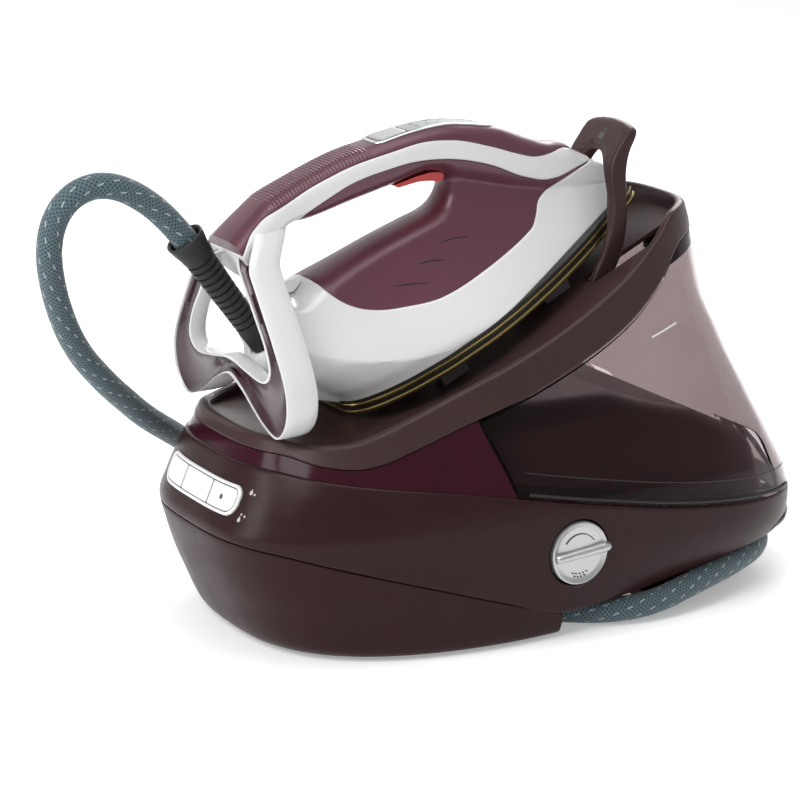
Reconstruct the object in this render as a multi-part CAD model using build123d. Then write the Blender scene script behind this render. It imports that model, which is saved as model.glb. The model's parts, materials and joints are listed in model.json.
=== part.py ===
from build123d import *
import math
import os

os.makedirs("parts", exist_ok=True)

# ---------------------------------------------------------------------------
# Steam generator iron: base station with the iron locked on its sloping rest.
# Frame: +Z up, base stands on Z = 0, X runs from the control panel (front, -X)
# to the water tank (rear, +X), Y = 0 is the plane of symmetry.  Millimetres.
# ---------------------------------------------------------------------------

# ---- driving dimensions ---------------------------------------------------
WALL = 3.0                 # casing wall
IRON_TILT = 26.0           # slope of the soleplate on the rest, degrees
IRON_O = (-118.5, 0.0, 138.3)   # rear end of the soleplate, on its bottom face
SOLE_LEN = 258.0
SOLE_T = 4.0
HOSE_D = 16.0
KNOB_C = (-5.0, -124.0, 57.0)   # collector cap, centre of its outer face
PANEL_TILT = 64.0          # control panel face above the horizontal
LOCK_PIVOT = (63.0, 0.0, 202.0)
N_EXP = 3.0                # exponent of the rounded plan outline

# casing outline by height: (z, front x, rear x, half width)
LEVELS = [
    (4, -184, 168, 98), (14, -188, 197, 107), (28, -194, 213, 114),
    (46, -201, 217, 119), (62, -208, 217, 122), (79, -217, 210, 123),
    (92, -212, 203, 121.5), (106, -206, 196, 117.5), (120, -200, 190, 110),
    (135, -193, 184, 101), (150, -186, 177, 94), (170, -174, 168, 87.5),
    (190, -160, 158, 82), (215, -140, 152, 75.5), (240, -118, 147, 69.5),
    (262, -100, 140, 64),
]
# seam between lower shell and upper casing, then the lip below the hose slot
SEAM = [(-240, 79), (-217, 76), (-195, 73), (-168, 66), (-111, 49), (-60, 32), (-8, 15), (10, 11), (40, 9), (120, 9), (180, 11), (240, 14)]
# lower edge of the upper casing: same seam, then the upper edge of the slot
SLOT_TOP = [(-240, 79), (-217, 76), (-195, 73), (-168, 66), (-111, 49), (-60, 32), (-8, 16), (20, 17.5), (47, 20), (93, 26), (140, 31), (180, 33), (240, 34)]
# upper edge of the casing band
BAND_TOP = [(-240, 123), (-192, 121.5), (-164, 117), (-90, 106), (-1, 88), (93, 71), (140, 65), (180, 61), (240, 57)]
# lower edge of the rest plate
REST_LOW = [(-240, 131), (-183, 130), (-165, 125), (-146, 123), (-130, 125), (-112, 130), (-74, 141), (-30, 152), (3, 163), (35, 176), (62, 190), (88, 209), (112, 231), (135, 236), (200, 236)]
# upper edge of the rim of the rest
REST_TOP = [(-240, 139), (-183, 139), (-165, 136), (-146, 137), (-130, 141), (-112, 147), (-74, 160), (-30, 174), (3, 187), (35, 202), (62, 217), (88, 236), (108, 251), (130, 254), (200, 252)]


def write(node, shape):
    shape = shape if isinstance(shape, Compound) else Compound(children=[Solid(s.wrapped) for s in shape.solids()]) if len(shape.solids()) > 1 else shape.solids()[0]
    shape.label = node
    export_step(shape, f"parts/{node}.step")
    print(f"{node:24s} {len(shape.solids())} solid(s) {shape.volume/1000.0:9.2f} cm3")
    return shape


def lerp(table, x):
    for a, b in zip(table, table[1:]):
        if x <= b[0]:
            t = (x - a[0]) / (b[0] - a[0])
            return [p + (q - p) * t for p, q in zip(a[1:], b[1:])]
    return list(table[-1][1:])


def ring(xf, xr, b, z, inset=0.0, n=24):
    """closed rounded outline at one height"""
    a = (xr - xf) / 2 - inset
    c = (xr + xf) / 2
    bb = b - inset
    pts = []
    for i in range(n):
        t = 2 * math.pi * i / n
        ct, st = math.cos(t), math.sin(t)
        x = c + a * math.copysign(abs(ct) ** (2 / N_EXP), ct)
        y = bb * math.copysign(abs(st) ** (2 / N_EXP), st)
        pts.append((x, y, z))
    return pts


def hull(inset=0.0, z0=None, z1=None):
    """solid of the casing outline between two heights, inset from the outside"""
    lv = [l for l in LEVELS]
    if z0 is not None:
        lv = [l for l in lv if l[0] > z0]
        lv = [tuple([z0] + lerp(LEVELS, z0))] + lv
    if z1 is not None:
        lv = [l for l in lv if l[0] < z1]
        lv = lv + [tuple([z1] + lerp(LEVELS, z1))]
    faces = []
    for z, xf, xr, b in lv:
        w = Spline(*[Vector(*p) for p in ring(xf, xr, b, z, inset)], periodic=True)
        faces.append(make_face(w))
    return loft(faces)


def region(low, high, x0=-260, x1=260, ylim=160, dz_low=0.0, dz_high=0.0):
    """slab across the whole width between two curves of the side view"""
    def cut(tab, dz):
        pts = [(x0, lerp(tab, x0)[0] + dz)]
        pts += [(x, z + dz) for x, z in tab if x0 < x < x1]
        pts += [(x1, lerp(tab, x1)[0] + dz)]
        return pts
    lo = cut(low, dz_low) if isinstance(low, list) else [(x0, low), (x1, low)]
    hi = cut(high, dz_high) if isinstance(high, list) else [(x0, high), (x1, high)]
    return slab(lo + hi[::-1], ylim)


def slab(pts, ylim=160, y0=None):
    """polygon of the side view, extruded across the width"""
    w = Polyline(*[Vector(x, 0, z) for x, z in pts], close=True)
    f = make_face(w)
    if y0 is None:
        return extrude(f, amount=ylim, dir=(0, 1, 0), both=True)
    return extrude(f, amount=ylim - y0, dir=(0, 1, 0)).moved(Location((0, y0, 0)))


def box(x0, x1, y0, y1, z0, z1):
    return Pos((x0 + x1) / 2, (y0 + y1) / 2, (z0 + z1) / 2) * Box(x1 - x0, y1 - y0, z1 - z0)


def cyl(p, r, h, axis="Z", h0=0.0):
    rot = {"Z": (0, 0, 0), "X": (0, 90, 0), "Y": (-90, 0, 0)}[axis]
    c = Cylinder(r, h, align=(Align.CENTER, Align.CENTER, Align.MIN))
    return Location(p, rot) * (Pos(0, 0, h0) * c)


def biggest(shape):
    s = sorted(shape.solids(), key=lambda q: q.volume)
    return s[-1]


def keep(shape, vol=20.0):
    return [s for s in shape.solids() if s.volume > vol]


# ---------------------------------------------------------------------------
# casing of the base
# ---------------------------------------------------------------------------
H = hull(0)
HI = hull(WALL)

# tank boundary in the side view: front wall of the water tank
TANK_F = [(-40, 60), (-47, 98), (-62, 145), (-70, 175)]

# lower shell: a tub with a floor; the rear part ends in the lip of the slot
SKIN = H - HI
lower_shell = (H & region(4.0, SEAM)) - hull(WALL, 7.0, 120)
# wall of the hose channel, set back from the outside behind the lip
hose_channel = (hull(30, 7.0, 36) - hull(33, 6.5, 36.5)) & box(-20, 240, -150, 150, 0, 60)
for k in range(5):
    lower_shell -= box(-60 + k * 12, -54 + k * 12, -30, 30, 2, 9)
lower_shell = biggest(lower_shell)

# upper casing: the band, closed below by a ledge over the hose channel
upper_casing = SKIN & region(SLOT_TOP, BAND_TOP, dz_low=0.25)
tank_ledge = (hull(WALL + 0.35, 36.2, 39.2) - hull(36, 36.0, 39.4)) & box(-14, 240, -150, 150, 30, 45)
tank_ledge -= cyl((KNOB_C[0], -135, KNOB_C[2]), 21.5, 40, "Y")
tank_ledge = biggest(tank_ledge)
# recess for the collector cap in the near side
upper_casing -= cyl((KNOB_C[0], -135, KNOB_C[2]), 21.5, 40, "Y")
upper_casing = biggest(upper_casing)
# panel window
PN = (-math.sin(math.radians(PANEL_TILT)), 0, math.cos(math.radians(PANEL_TILT)))
PC = (-209.8, 0, 99.5)
PLOC = Location(Plane(origin=PC, x_dir=(0, -1, 0), z_dir=PN))
panel_cut = PLOC * extrude(RectangleRounded(98.0, 30.0, 9.0), amount=14, both=True)
upper_casing = biggest(upper_casing - panel_cut)
# holes for the two indicator lenses
for yy, zz in ((-66, 104), (-66, 90)):
    upper_casing -= Location((-196, yy, zz), (0, -90, 0)) * Cylinder(2.7, 40)
upper_casing = biggest(upper_casing)

# burgundy trim between the band and the rest plate
trim = SKIN & slab([(-240, 123.25), (-192, 121.75), (-164, 117.25), (-90, 106.25), (-48.5, 98.7), (-62.5, 143.7), (-74, 140.75), (-112, 129.75), (-130, 124.75), (-146, 122.75), (-165, 124.75), (-183, 129.75), (-240, 130.75)], 160)
trim_band = biggest(trim)

# bulkhead between the works and the tank, a folded wall inside the casing
tank_bulkhead = biggest(hull(4.2, 60, 145) & slab([(-42, 61), (-47.5, 95), (-62.0, 139), (-65.0, 138.5), (-50.5, 94), (-45, 61)], 160))

# cover over the works: a dark hump that the tank sits around
hump_o = hull(13.0, 40, 152) & slab([(-33, 39.6), (-47.5, 138), (74, 138), (114, 122), (158, 100), (176, 39.6)], 160)
hump_i = hull(16.0, 38, 153) & slab([(-29, 38), (-44, 135), (73, 135), (112, 119.5), (155, 98), (173, 38)], 160)
works_cover = hump_o - hump_i
works_cover -= cyl((KNOB_C[0], -130, KNOB_C[2]), 16, 60, "Y")
works_cover = biggest(works_cover)

# water tank: hollow, transparent, its floor stepped over the works cover
T_OUT = hull(0.4, 55, 250) & slab([(-46.2, 98.5), (-60.8, 144.2), (-30, 151), (3, 162), (35, 175), (62, 189), (88, 208), (112, 230), (135, 235), (240, 235),
                                 (240, 58), (180, 62), (140, 66), (93, 72), (-1, 89)], 160)
T_OUT -= hull(11.4, 30, 155) & slab([(-60, 30), (-60, 138.6), (75, 138.6), (115, 122.9), (161, 101.0), (182, 30)], 160)
TROUGH = slab([(30, 262), (30, 174), (62, 182), (88, 195), (114, 216), (114, 262)], 50, y0=-50)
T_OUT -= TROUGH
T_IN = hull(3.0, 50, 255) & slab([(-42.0, 101), (-55.5, 142), (-30, 147.5), (3, 158.5), (35, 171.5), (62, 185), (88, 204), (113, 226.5), (135, 231.5), (240, 231.5),
                                (240, 62), (180, 66), (140, 70), (93, 76), (-1, 93)], 160)
T_IN -= hull(8.6, 30, 160) & slab([(-70, 30), (-70, 141.6), (76, 141.6), (117, 125.9), (164, 103.5), (186, 30)], 160)
T_IN -= slab([(27, 262), (27, 171), (62, 179), (89, 192), (117, 214), (117, 262)], 53, y0=-53)
water_tank = T_OUT - biggest(T_IN)
FILL = (133.0, 0.0, 200.0)
water_tank -= cyl((FILL[0], 0, 225), 10.5, 20, "Z")
# outlet spigot hole low in the front wall
OUT_P = (-52.0, 110.4, 106.0)
water_tank -= cyl((OUT_P[0] - 20, OUT_P[1], OUT_P[2]), 2.6, 29, "X")
water_tank = biggest(water_tank)
filler_funnel = cyl((FILL[0], 0, 214), 10.2, 20.6, "Z") - cyl((FILL[0], 0, 213), 8.4, 30, "Z")
filler_flap = cyl((FILL[0], 0, 229.0), 8.1, 1.8, "Z")
outlet_valve = cyl((OUT_P[0] - 4, OUT_P[1], OUT_P[2]), 2.5, 12, "X") - cyl((OUT_P[0] - 9, OUT_P[1], OUT_P[2]), 1.5, 12, "X")
tank_bulkhead = biggest(tank_bulkhead - cyl((OUT_P[0] - 20, OUT_P[1], OUT_P[2]), 3.4, 40, "X") - cyl((-70, 5, 72), 4.4, 60, "X"))
works_cover = biggest(works_cover - cyl((-70, 5, 72), 4.4, 60, "X"))

# ---------------------------------------------------------------------------
# rest plate: sloping deck for the iron, with a raised rim
# ---------------------------------------------------------------------------
IRON = Location(IRON_O, (0, -IRON_TILT, 0))


def sole_half(u):
    tab = [(0, 26), (4, 35), (12, 43), (25, 50), (45, 56), (75, 59.5), (95, 59.5), (120, 57), (150, 50.5), (180, 41), (205, 31), (228, 19.5), (244, 10.5), (254, 4.5), (258, 1.0)]
    return lerp(tab, u)[0]


def sole_pts(off=0.0, u0=0.0, u1=SOLE_LEN, du=0.0):
    us = [0, 4, 12, 25, 45, 75, 95, 120, 150, 180, 205, 228, 244, 254, 258]
    c = 110.0
    out = []
    for u in us:
        h = sole_half(u)
        # move outward along the outline's normal
        e = 0.5
        s = (sole_half(min(u + e, 258)) - sole_half(max(u - e, 0))) / (min(u + e, 258) - max(u - e, 0))
        nn = math.hypot(1, s)
        out.append((u - off * s / nn + du, max(h + off / nn, 0.6)))
    return out


def sole_face(off=0.0, w=0.0, du=0.0):
    p = sole_pts(off, du=du)
    top = [Vector(u, h, w) for u, h in p]
    bot = [Vector(u, -h, w) for u, h in p[::-1]]
    e1 = Spline(*top)
    e2 = Spline(*bot)
    e3 = Line(e1 @ 1, e2 @ 0)
    e4 = Line(e2 @ 1, e1 @ 0)
    return make_face([e1, e3, e2, e4])


# rim of the rest: the casing outline between the lower edge and the rim top
rest_skin = (H - hull(WALL + 2.0)) & region(REST_LOW, REST_TOP, dz_low=0.25)
# deck inside the rim: flat at the front, then parallel to the soleplate
DECK = [(-200, 136), (-183, 135), (-165, 130), (-146, 128.5), (-130, 130.5), (-112, 134.5), (-90, 140.5), (-60, 151.3), (136, 246.9)]
deck = hull(WALL, 118, 262) & slab([(x, z) for x, z in DECK] + [(x, z - 3.2) for x, z in DECK[::-1]], 160)
# slots for the legs of the locking hoop
for sy in (-1, 1):
    deck -= box(54, 116, min(sy * 29, sy * 43), max(sy * 29, sy * 43), 190, 262)
iron_rest = biggest(rest_skin + deck)

# locking hoop: arch over the nose of the iron, pivots below the deck
LX, LZ = LOCK_PIVOT[0], LOCK_PIVOT[2]
lever_side = slab([(57, 204), (58, 197.5), (62, 195.5), (67, 197), (72, 204), (84, 219), (91, 231), (94, 259), (95, 286), (100, 298), (98, 304), (92, 303), (86, 291), (80, 283), (77, 272), (79, 257), (74, 241), (66, 222)], 42)
outer_yz = extrude(make_face(Polyline((0, -39, 190), (0, -38, 240), (0, -30, 262), (0, -24.5, 285), (0, -24, 295), (0, -14, 302), (0, 0, 304), (0, 14, 302), (0, 24, 295), (0, 24.5, 285), (0, 30, 262), (0, 38, 240), (0, 39, 190), close=True)), amount=200, dir=(1, 0, 0))
inner_yz = extrude(make_face(Polyline((0, -34, 180), (0, -33, 240), (0, -25, 262), (0, -19, 279), (0, -12, 286.5), (0, 0, 288), (0, 12, 286.5), (0, 19, 279), (0, 25, 262), (0, 33, 240), (0, 34, 180), close=True)), amount=200, dir=(1, 0, 0))
lock_hoop = (lever_side & outer_yz) - inner_yz
lock_hoop -= cyl((LX, -50, LZ), 3.05, 100, "Y")
lock_hoop += box(58, 66, -34, 34, 196.2, 198.4) if False else Part()
lock_pin = cyl((LX, -47, LZ), 3.0, 94, "Y")
lock_brackets = Part() + slab([(56, 196), (70, 196), (70, 210.9), (56, 204.1)], 46, y0=41) + slab([(56, 196), (70, 196), (70, 210.9), (56, 204.1)], -41, y0=-46)
lock_brackets -= cyl((LX, -50, LZ), 3.0, 100, "Y")

# silicone pads that carry the soleplate
rest_pads = Part()
for uu, yy in ((72, -38), (72, 38), (165, -24), (165, 24)):
    rest_pads += IRON * Pos(uu, yy, -7.0) * Box(20, 12, 13.7)

# ---------------------------------------------------------------------------
# control panel
# ---------------------------------------------------------------------------
def panel(shape):
    return PLOC * shape

panel_bezel = panel(Pos(0, 0, -2.0) * extrude(RectangleRounded(97.4, 29.4, 8.7), amount=4.6)) - panel(Pos(0, 0, -4) * extrude(RectangleRounded(90.0, 22.0, 6.0), amount=10))
buttons = []
for i, (a0, a1) in enumerate(((-44.6, -15.2), (-14.8, 14.8), (15.2, 44.6))):
    full = extrude(RectangleRounded(89.4, 21.4, 5.7), amount=4.5)
    part_ = (Pos(0, 0, -1.0) * full) & (Pos((a0 + a1) / 2, 0, 1) * Box(a1 - a0, 40, 12))
    stem = Pos((a0 + a1) / 2, 0, -3.6) * Box(8, 6, 5.2)
    buttons.append(panel(biggest(part_ + stem)))
button_right, button_middle, button_left = buttons[2], buttons[1], buttons[0]
panel_board = panel(Pos(0, 0, -9.4) * Box(92, 24, 1.6))
for dx in (-29.9, 0, 29.9):
    panel_board += panel(Pos(dx, 0, -8.1) * Box(6, 6, 1.2))
panel_board = biggest(panel_board)
indicator_lenses = Part()
for yy, zz in ((-66, 104), (-66, 90)):
    indicator_lenses += Location((-200.5, yy, zz), (0, 90, 0)) * Cylinder(2.5, 7)

# ---------------------------------------------------------------------------
# works inside the base
# ---------------------------------------------------------------------------
BOIL = (4.0, 5.0, 66.0)
boiler = cyl((BOIL[0], -60, BOIL[2]), 34, 130, "Y")
boiler = fillet(boiler.edges(), 8)
boiler += cyl((KNOB_C[0], -74, KNOB_C[2]), 13, 16, "Y")
boiler -= cyl((BOIL[0], -57, BOIL[2]), 31.5, 124, "Y")
boiler -= cyl((KNOB_C[0], -80, KNOB_C[2]), 10.0, 40, "Y")
boiler = biggest(boiler)
boiler_element = Pos(BOIL[0], 20, 27.3) * Torus(20, 4.0)
boiler_thermostat = cyl((BOIL[0], 20, 100.2), 8, 9, "Z")
boiler_mounts = Part()
for yy in (-40, 55):
    boiler_mounts += (box(-26, 34, yy - 5, yy + 5, 7.1, 52) - cyl((BOIL[0], -100, BOIL[2]), 34.3, 240, "Y")) - box(-20, 28, -100, 100, 0, 37)
boiler_mounts = Compound(children=[q for q in boiler_mounts.solids()])
collector_cap = cyl((KNOB_C[0], -125.0, KNOB_C[2]), 20.5, 6, "Y") + cyl((KNOB_C[0], -119, KNOB_C[2]), 12.5, 44.6, "Y")
grip = Location((KNOB_C[0], -125.0, KNOB_C[2]), (0, -14, 0)) * Box(38, 5, 6.5)
collector_cap = biggest(collector_cap + grip)
collector_rod = cyl((KNOB_C[0], -74.2, KNOB_C[2]), 7.5, 60, "Y")
collector_seal = cyl((KNOB_C[0], -90, KNOB_C[2]), 14.22, 2.4, "Y") - cyl((KNOB_C[0], -91, KNOB_C[2]), 12.5, 6, "Y")
collector_sleeve = (cyl((KNOB_C[0], -118.4, KNOB_C[2]), 15.5, 44, "Y") - cyl((KNOB_C[0], -119, KNOB_C[2]), 12.56, 50, "Y")) - cyl((KNOB_C[0], -91, KNOB_C[2]), 14.3, 4.4, "Y")
collector_sleeve = biggest(collector_sleeve)

pump = cyl((-140, 30, 36), 17, 58, "X") + box(-130, -92, 18, 42, 7.1, 21)
pump += cyl((-146, 30, 36), 6, 8, "X")
pump += cyl((-84, 30, 36), 6, 9, "X")
pump = biggest(pump)
solenoid_valve = box(-118, -92, -44, -18, 7.1, 33) + cyl((-105, -31, 32), 10, 22, "Z")
solenoid_valve = biggest(solenoid_valve)
main_board = box(-172, -62, -60, -58, 40, 92)
for x0 in (-166, -140, -112, -88):
    main_board += box(x0, x0 + 14, -58, -44, 52, 70)
main_board += box(-150, -100, -66, -60, 74, 88)
main_board = biggest(main_board)


def tube(points, r, radii=None):
    n = len(points)
    if radii is None:
        radii = []
        for i in range(1, n - 1):
            a_, b_, c_ = Vector(*points[i - 1]), Vector(*points[i]), Vector(*points[i + 1])
            t = math.radians((b_ - a_).get_angle(c_ - b_))
            radii.append(0.45 * min((b_ - a_).length, (c_ - b_).length) / math.tan(t / 2))
    path = FilletPolyline(*[Vector(*q) for q in points], radius=radii)
    d0 = (Vector(*points[1]) - Vector(*points[0])).normalized()
    prof = Plane(origin=Vector(*points[0]), z_dir=d0) * Circle(r)
    return sweep(prof, path), path, radii


feed_tube, _, _ = tube([(OUT_P[0] - 5.4, OUT_P[1], OUT_P[2]), (-74, 109, 103), (-90, 98, 92), (-99, 76, 80), (-98, 52, 72), (-97, 34, 61)], 2.4)
steam_tube, _, _ = tube([(-30.4, 5, 72), (-54, 4.6, 73), (-78, -10, 70), (-98, -26, 61)], 3.0)

# hose outlet below the floor, faces the hose bay
rubber_feet = Part()
for fx, fy in ((-142, -58), (-142, 58), (118, -52), (118, 58)):
    rubber_feet += cyl((fx, fy, 0), 10, 3.95, "Z")
casing_screws = Part()
for fx, fy in ((-120, -74), (-120, 74), (-40, 80), (60, 76), (140, -30), (140, 30)):
    casing_screws += cyl((fx, fy, 2.6), 3.4, 1.35, "Z")

HOSE_R = HOSE_D / 2
B0 = (-163.0, 0.0, 184.0)
B1 = (-216.0, 0.0, 258.0)
bl = math.dist(B0, B1)
BD = tuple((q - p) / bl for p, q in zip(B0, B1))
H0 = tuple(p + d * 80.0 for p, d in zip(B0, BD))
SPLIT = (-226.0, 71.5, 139.3)
SD = tuple((q - p) / math.dist((-244.6, 58, 155.6), SPLIT) for p, q in zip((-244.6, 58, 155.6), SPLIT))
LOOP = [H0, tuple(p + d * 26 for p, d in zip(H0, BD)), (-251, 1, 291), (-273, 4, 296), (-291.5, 9, 285), (-298.5, 17, 260), (-291, 27, 224), (-273, 40, 186), (-244.6, 58, 155.6), SPLIT]
STOW = [tuple(p + d * 0.02 for p, d in zip(SPLIT, SD)), tuple(p + d * 31 for p, d in zip(SPLIT, SD)), (-166, 122, 94), (-122, 164, 62), (-84, 208, 30), (-36, 248, 10), (28, 270, 8.8), (96, 276, 8.8), (158, 254, 8.8), (204, 208, 9.2), (220, 152, 13), (214, 100, 20), (202, 48, 22.5), (196, 4, 22.5), (188, -40, 22.5), (166, -78, 22.5), (128, -100, 21.5), (92, -110, 17.5), (56, -116, 10.8), (24, -109, 8.8), (-2, -90, 8.8), (-28, -79, 9.0), (-54, -73.5, 9.2)]
hose_loop, loop_path, loop_r = tube(LOOP, HOSE_R)
hose_stowed, stow_path, stow_r = tube(STOW, HOSE_R)
print("loop radii", [round(r_) for r_ in loop_r], "length", round(loop_path.length), "vol ratio", round(hose_loop.volume / (math.pi * HOSE_R ** 2 * loop_path.length), 4))
print("stow radii", [round(r_) for r_ in stow_r], "length", round(stow_path.length), "vol ratio", round(hose_stowed.volume / (math.pi * HOSE_R ** 2 * stow_path.length), 4))
e0, e1 = Vector(*STOW[-2]), Vector(*STOW[-1])
ed = (e1 - e0).normalized()
hose_outlet = Location(Plane(origin=e1 + ed * 0.0, z_dir=ed)) * Cylinder(8.6, 22, align=(Align.CENTER, Align.CENTER, Align.MIN))
# bay under the floor where the hose comes out
lower_shell -= box(-86, -4, -93.5, -56, -1, 18.6)
lower_shell -= box(-13, 70, -150, -56, -1, 17.2)
lower_shell = biggest(lower_shell)
bay_roof = box(-84, 70, -94, -56, 19.0, 21.0) & hull(8, 10, 30)
bay_roof -= box(-84, 200, -200, -95, 0, 50)
hose_channel = biggest(hose_channel - box(-90, 74, -160, -50, 0, 60))
mains_gland = cyl((42, 112.0, 50), 8.5, 15.5, "Y") - cyl((42, 107, 50), 3.6, 30, "Y")
upper_casing -= cyl((42, 100, 50), 8.55, 40, "Y")
upper_casing = biggest(upper_casing)

# ---------------------------------------------------------------------------
# the iron, in its own frame: u forward from the rear of the soleplate, w up
# ---------------------------------------------------------------------------
def outline(u0, u1, hw, w):
    us = [0, 4, 12, 25, 45, 75, 95, 120, 150, 180, 205, 228, 244, 254, 258]
    pts = [(u0 + (u1 - u0) * q / 258.0, sole_half(q) * hw / 59.5) for q in us]
    e1_ = Spline(*[Vector(q, h, w) for q, h in pts])
    e2_ = Spline(*[Vector(q, -h, w) for q, h in pts[::-1]])
    return make_face([e1_, Line(e1_ @ 1, e2_ @ 0), e2_, Line(e2_ @ 1, e1_ @ 0)])


def stack(levels):
    return loft([outline(*l) for l in levels])


# plane of the heel hoop
HP = Plane(origin=(-48.6, 0, 29.5), x_dir=(0, 1, 0), z_dir=(-0.912, 0, 0.411))
HUP = 1 if (HP.y_dir.Z > 0) else -1


def hoop_face(pts, rr):
    w_ = Polyline(*[Vector(y_, HUP * s_) for y_, s_ in pts], close=True)
    f_ = make_face(w_)
    return fillet(f_.vertices(), rr)


FRONT = Location(HP) * Pos(0, 0, -11.25 - 300) * Box(600, 600, 600)   # everything ahead of the hoop
soleplate = extrude(outline(0, 258, 59.5, 0), amount=SOLE_T)
sole_trim = extrude(outline(1.5, 256, 58, 4.1), amount=4.9) - extrude(outline(9, 247, 50, 4.0), amount=6)
heating_block = extrude(outline(16, 232, 44, 4.1), amount=17)
block_cover = extrude(outline(18, 230, 42, 21.2), amount=1.5)
lb_o = stack([(1.5, 254, 57.5, 9.2), (-8, 251, 57.5, 24), (-20, 240, 44, 42)])
lb_i = stack([(5, 248, 54.5, 9.0), (-4, 246, 54.5, 24), (-16, 236, 41, 42.2)])
lower_body = biggest((lb_o - lb_i) & FRONT)
sd_o = stack([(-12, 238, 43, 42.3), (4, 228, 29, 60), (16, 207, 18, 80)])
sd_i = stack([(-8, 233, 40, 42.1), (8, 224, 26, 60), (20, 203, 15, 77)])
saddle = biggest((sd_o - sd_i) & FRONT)

TOPC = [(-14, 135), (10, 143), (22, 145), (51, 144), (74, 142), (99, 137), (124, 131), (149, 122), (164, 113), (182, 100), (199, 80.3)]
MID1 = [(-15, 128), (10, 138), (15, 139), (40, 139), (68, 137), (110, 128), (125, 124), (147, 113), (170, 94), (181, 80.3)]
MID2 = [(-17, 114), (14, 125), (37, 127), (64, 127), (106, 119), (120, 114), (142, 102), (160, 87), (165, 80.3)]
BOTC = [(-19, 106), (18, 118), (26, 121), (42, 116), (69, 111), (103, 103.5), (122, 101.5), (130, 97), (134, 89), (133, 80.3)]


def strip(up, lo, hw, rr=0.0, gap=0.12):
    body = slab([(x_, z_) for x_, z_ in up] + [(x_, z_ + gap) for x_, z_ in lo[::-1]], hw)
    return body


handle_cover = strip(TOPC, MID1, 16.0) & FRONT
handle_shell = strip(MID1, MID2, 19.5) & FRONT
handle_liner = strip(MID2, BOTC, 15.0) & FRONT
handle_cover = biggest(handle_cover)
handle_cover = handle_cover - slab([(101, 139), (101, 133.4), (124, 127.8), (149, 118.8), (164, 109.8), (181, 97.7), (186, 101), (170, 125), (120, 142)], 12.6)
handle_cover = biggest(handle_cover)
display_bezel = slab([(101.2, 136.6), (124, 131.4), (149, 122.4), (164, 113.4), (181.5, 100.5), (180, 98.2), (164, 110.0), (149, 119.0), (124, 128.0), (101.2, 133.6)], 12.4)
display_bezel -= slab([(126, 140), (126, 120), (178, 95), (178, 115)], 9.2)
display_bezel -= slab([(105, 142), (105, 130), (122, 125), (122, 142)], 9.2)
display_bezel = biggest(display_bezel)
handle_cover = biggest(handle_cover - display_bezel)
display_lens = slab([(126.2, 130.6), (149, 122.0), (164, 113.0), (177.8, 103.0), (177.8, 100.2), (164, 110.2), (149, 119.2), (126.2, 127.6)], 9.0)
mode_button = slab([(105.3, 137.6), (121.7, 133.8), (121.7, 130.6), (105.3, 134.6)], 9.0)
handle_cover = biggest(handle_cover - slab([(104.9, 140), (104.9, 131.5), (122.1, 127.0), (122.1, 140)], 9.6))
handle_liner = biggest(handle_liner)
steam_trigger = slab([(98, 104.2), (127, 101.0), (127, 97.2), (123, 96.6), (98, 101.4)], 7.5)
handle_liner = biggest(handle_liner - slab([(97.4, 100), (97.4, 105.6), (128.2, 106.2), (128.2, 96.0)], 8.2))

HOOP_OUT = [(0, 24.5), (18, 18.5), (33, 9.5), (48, 1.5), (64, -2), (76, 7), (80.5, 21), (77, 37), (63, 60), (43, 88), (26, 110), (13, 121)]
HOOP_IN = [(0, 37), (20, 33), (40, 30), (51, 33), (54.5, 41), (49, 54), (38, 68), (26, 83), (12, 99)]


def hoop_loop(half, off=0.0):
    """closed smooth outline, the same on both sides of the middle"""
    pts = half + [(-y_, s_) for y_, s_ in half[::-1] if y_ > 0.1]
    w_ = Spline(*[Vector(y_, HUP * s_) for y_, s_ in pts], periodic=True)
    f_ = make_face(w_)
    if off:
        f_ = make_face(offset(f_, off).edges())
    return f_


hoop_o = hoop_loop(HOOP_OUT)
hoop_i = hoop_loop(HOOP_IN)
heel_hoop = HP * (Pos(0, 0, -11) * (extrude(hoop_o, amount=22) - extrude(hoop_i, amount=22)))
heel_hoop = Location() * heel_hoop
BALL = Vector(-23, 0, 51)
heel_hoop = biggest(heel_hoop - Pos(*BALL) * Sphere(13.3))
heel_hoop = biggest(heel_hoop - IRON.inverse() * Location(Plane(origin=(-163.0, 0.0, 184.0), x_dir=(0, 1, 0), z_dir=BD)) * Pos(0, 0, -2) * Cylinder(10.2, 60, align=(Align.CENTER, Align.CENTER, Align.MIN)))
ins_o = hoop_loop([(0, 26.5), (18, 20.5), (33, 11.5), (48, 3.8), (63, 0.4), (74, 8.5), (78.2, 21), (74.8, 36.2), (61, 59), (41.2, 86.8), (24.4, 108.4), (12, 118.6)])
ins_i = hoop_loop([(0, 35), (20, 31), (41, 28), (53, 31.5), (56.8, 41), (51, 55), (39.8, 69.4), (27.6, 84.6), (13, 101.5)])
heel_insert = HP * (Pos(0, 0, 11.05) * (extrude(ins_o, amount=1.6) - extrude(ins_i, amount=1.6)))
heel_insert = biggest(heel_insert)
lower_body = biggest(lower_body - Pos(*BALL) * Sphere(13.3))
saddle = biggest(saddle - Pos(*BALL) * Sphere(13.3))
ball_housing = Pos(*BALL) * Sphere(13.0)
BAX = Vector(-15, 0, 90).normalized()
ball_housing -= Location(Plane(origin=BALL, z_dir=BAX)) * (Pos(0, 0, 9) * Cylinder(9.3, 20, align=(Align.CENTER, Align.CENTER, Align.MIN)))
ball_housing = biggest(ball_housing)
boot_prof = make_face(Polyline((0, 0, 0), (8.0, 0, 0), (8.8, 0, 58), (9.6, 0, 72), (11.8, 0, 84), (12.4, 0, 90), (10.4, 0, 90), (8.6, 0, 80), (0, 0, 80), close=True))
boot = revolve(boot_prof, Axis.Z, 360)
BOOT_LOC = Location(Plane(origin=B0, x_dir=(0, 1, 0), z_dir=BD))
cord_boot = BOOT_LOC * boot
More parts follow.
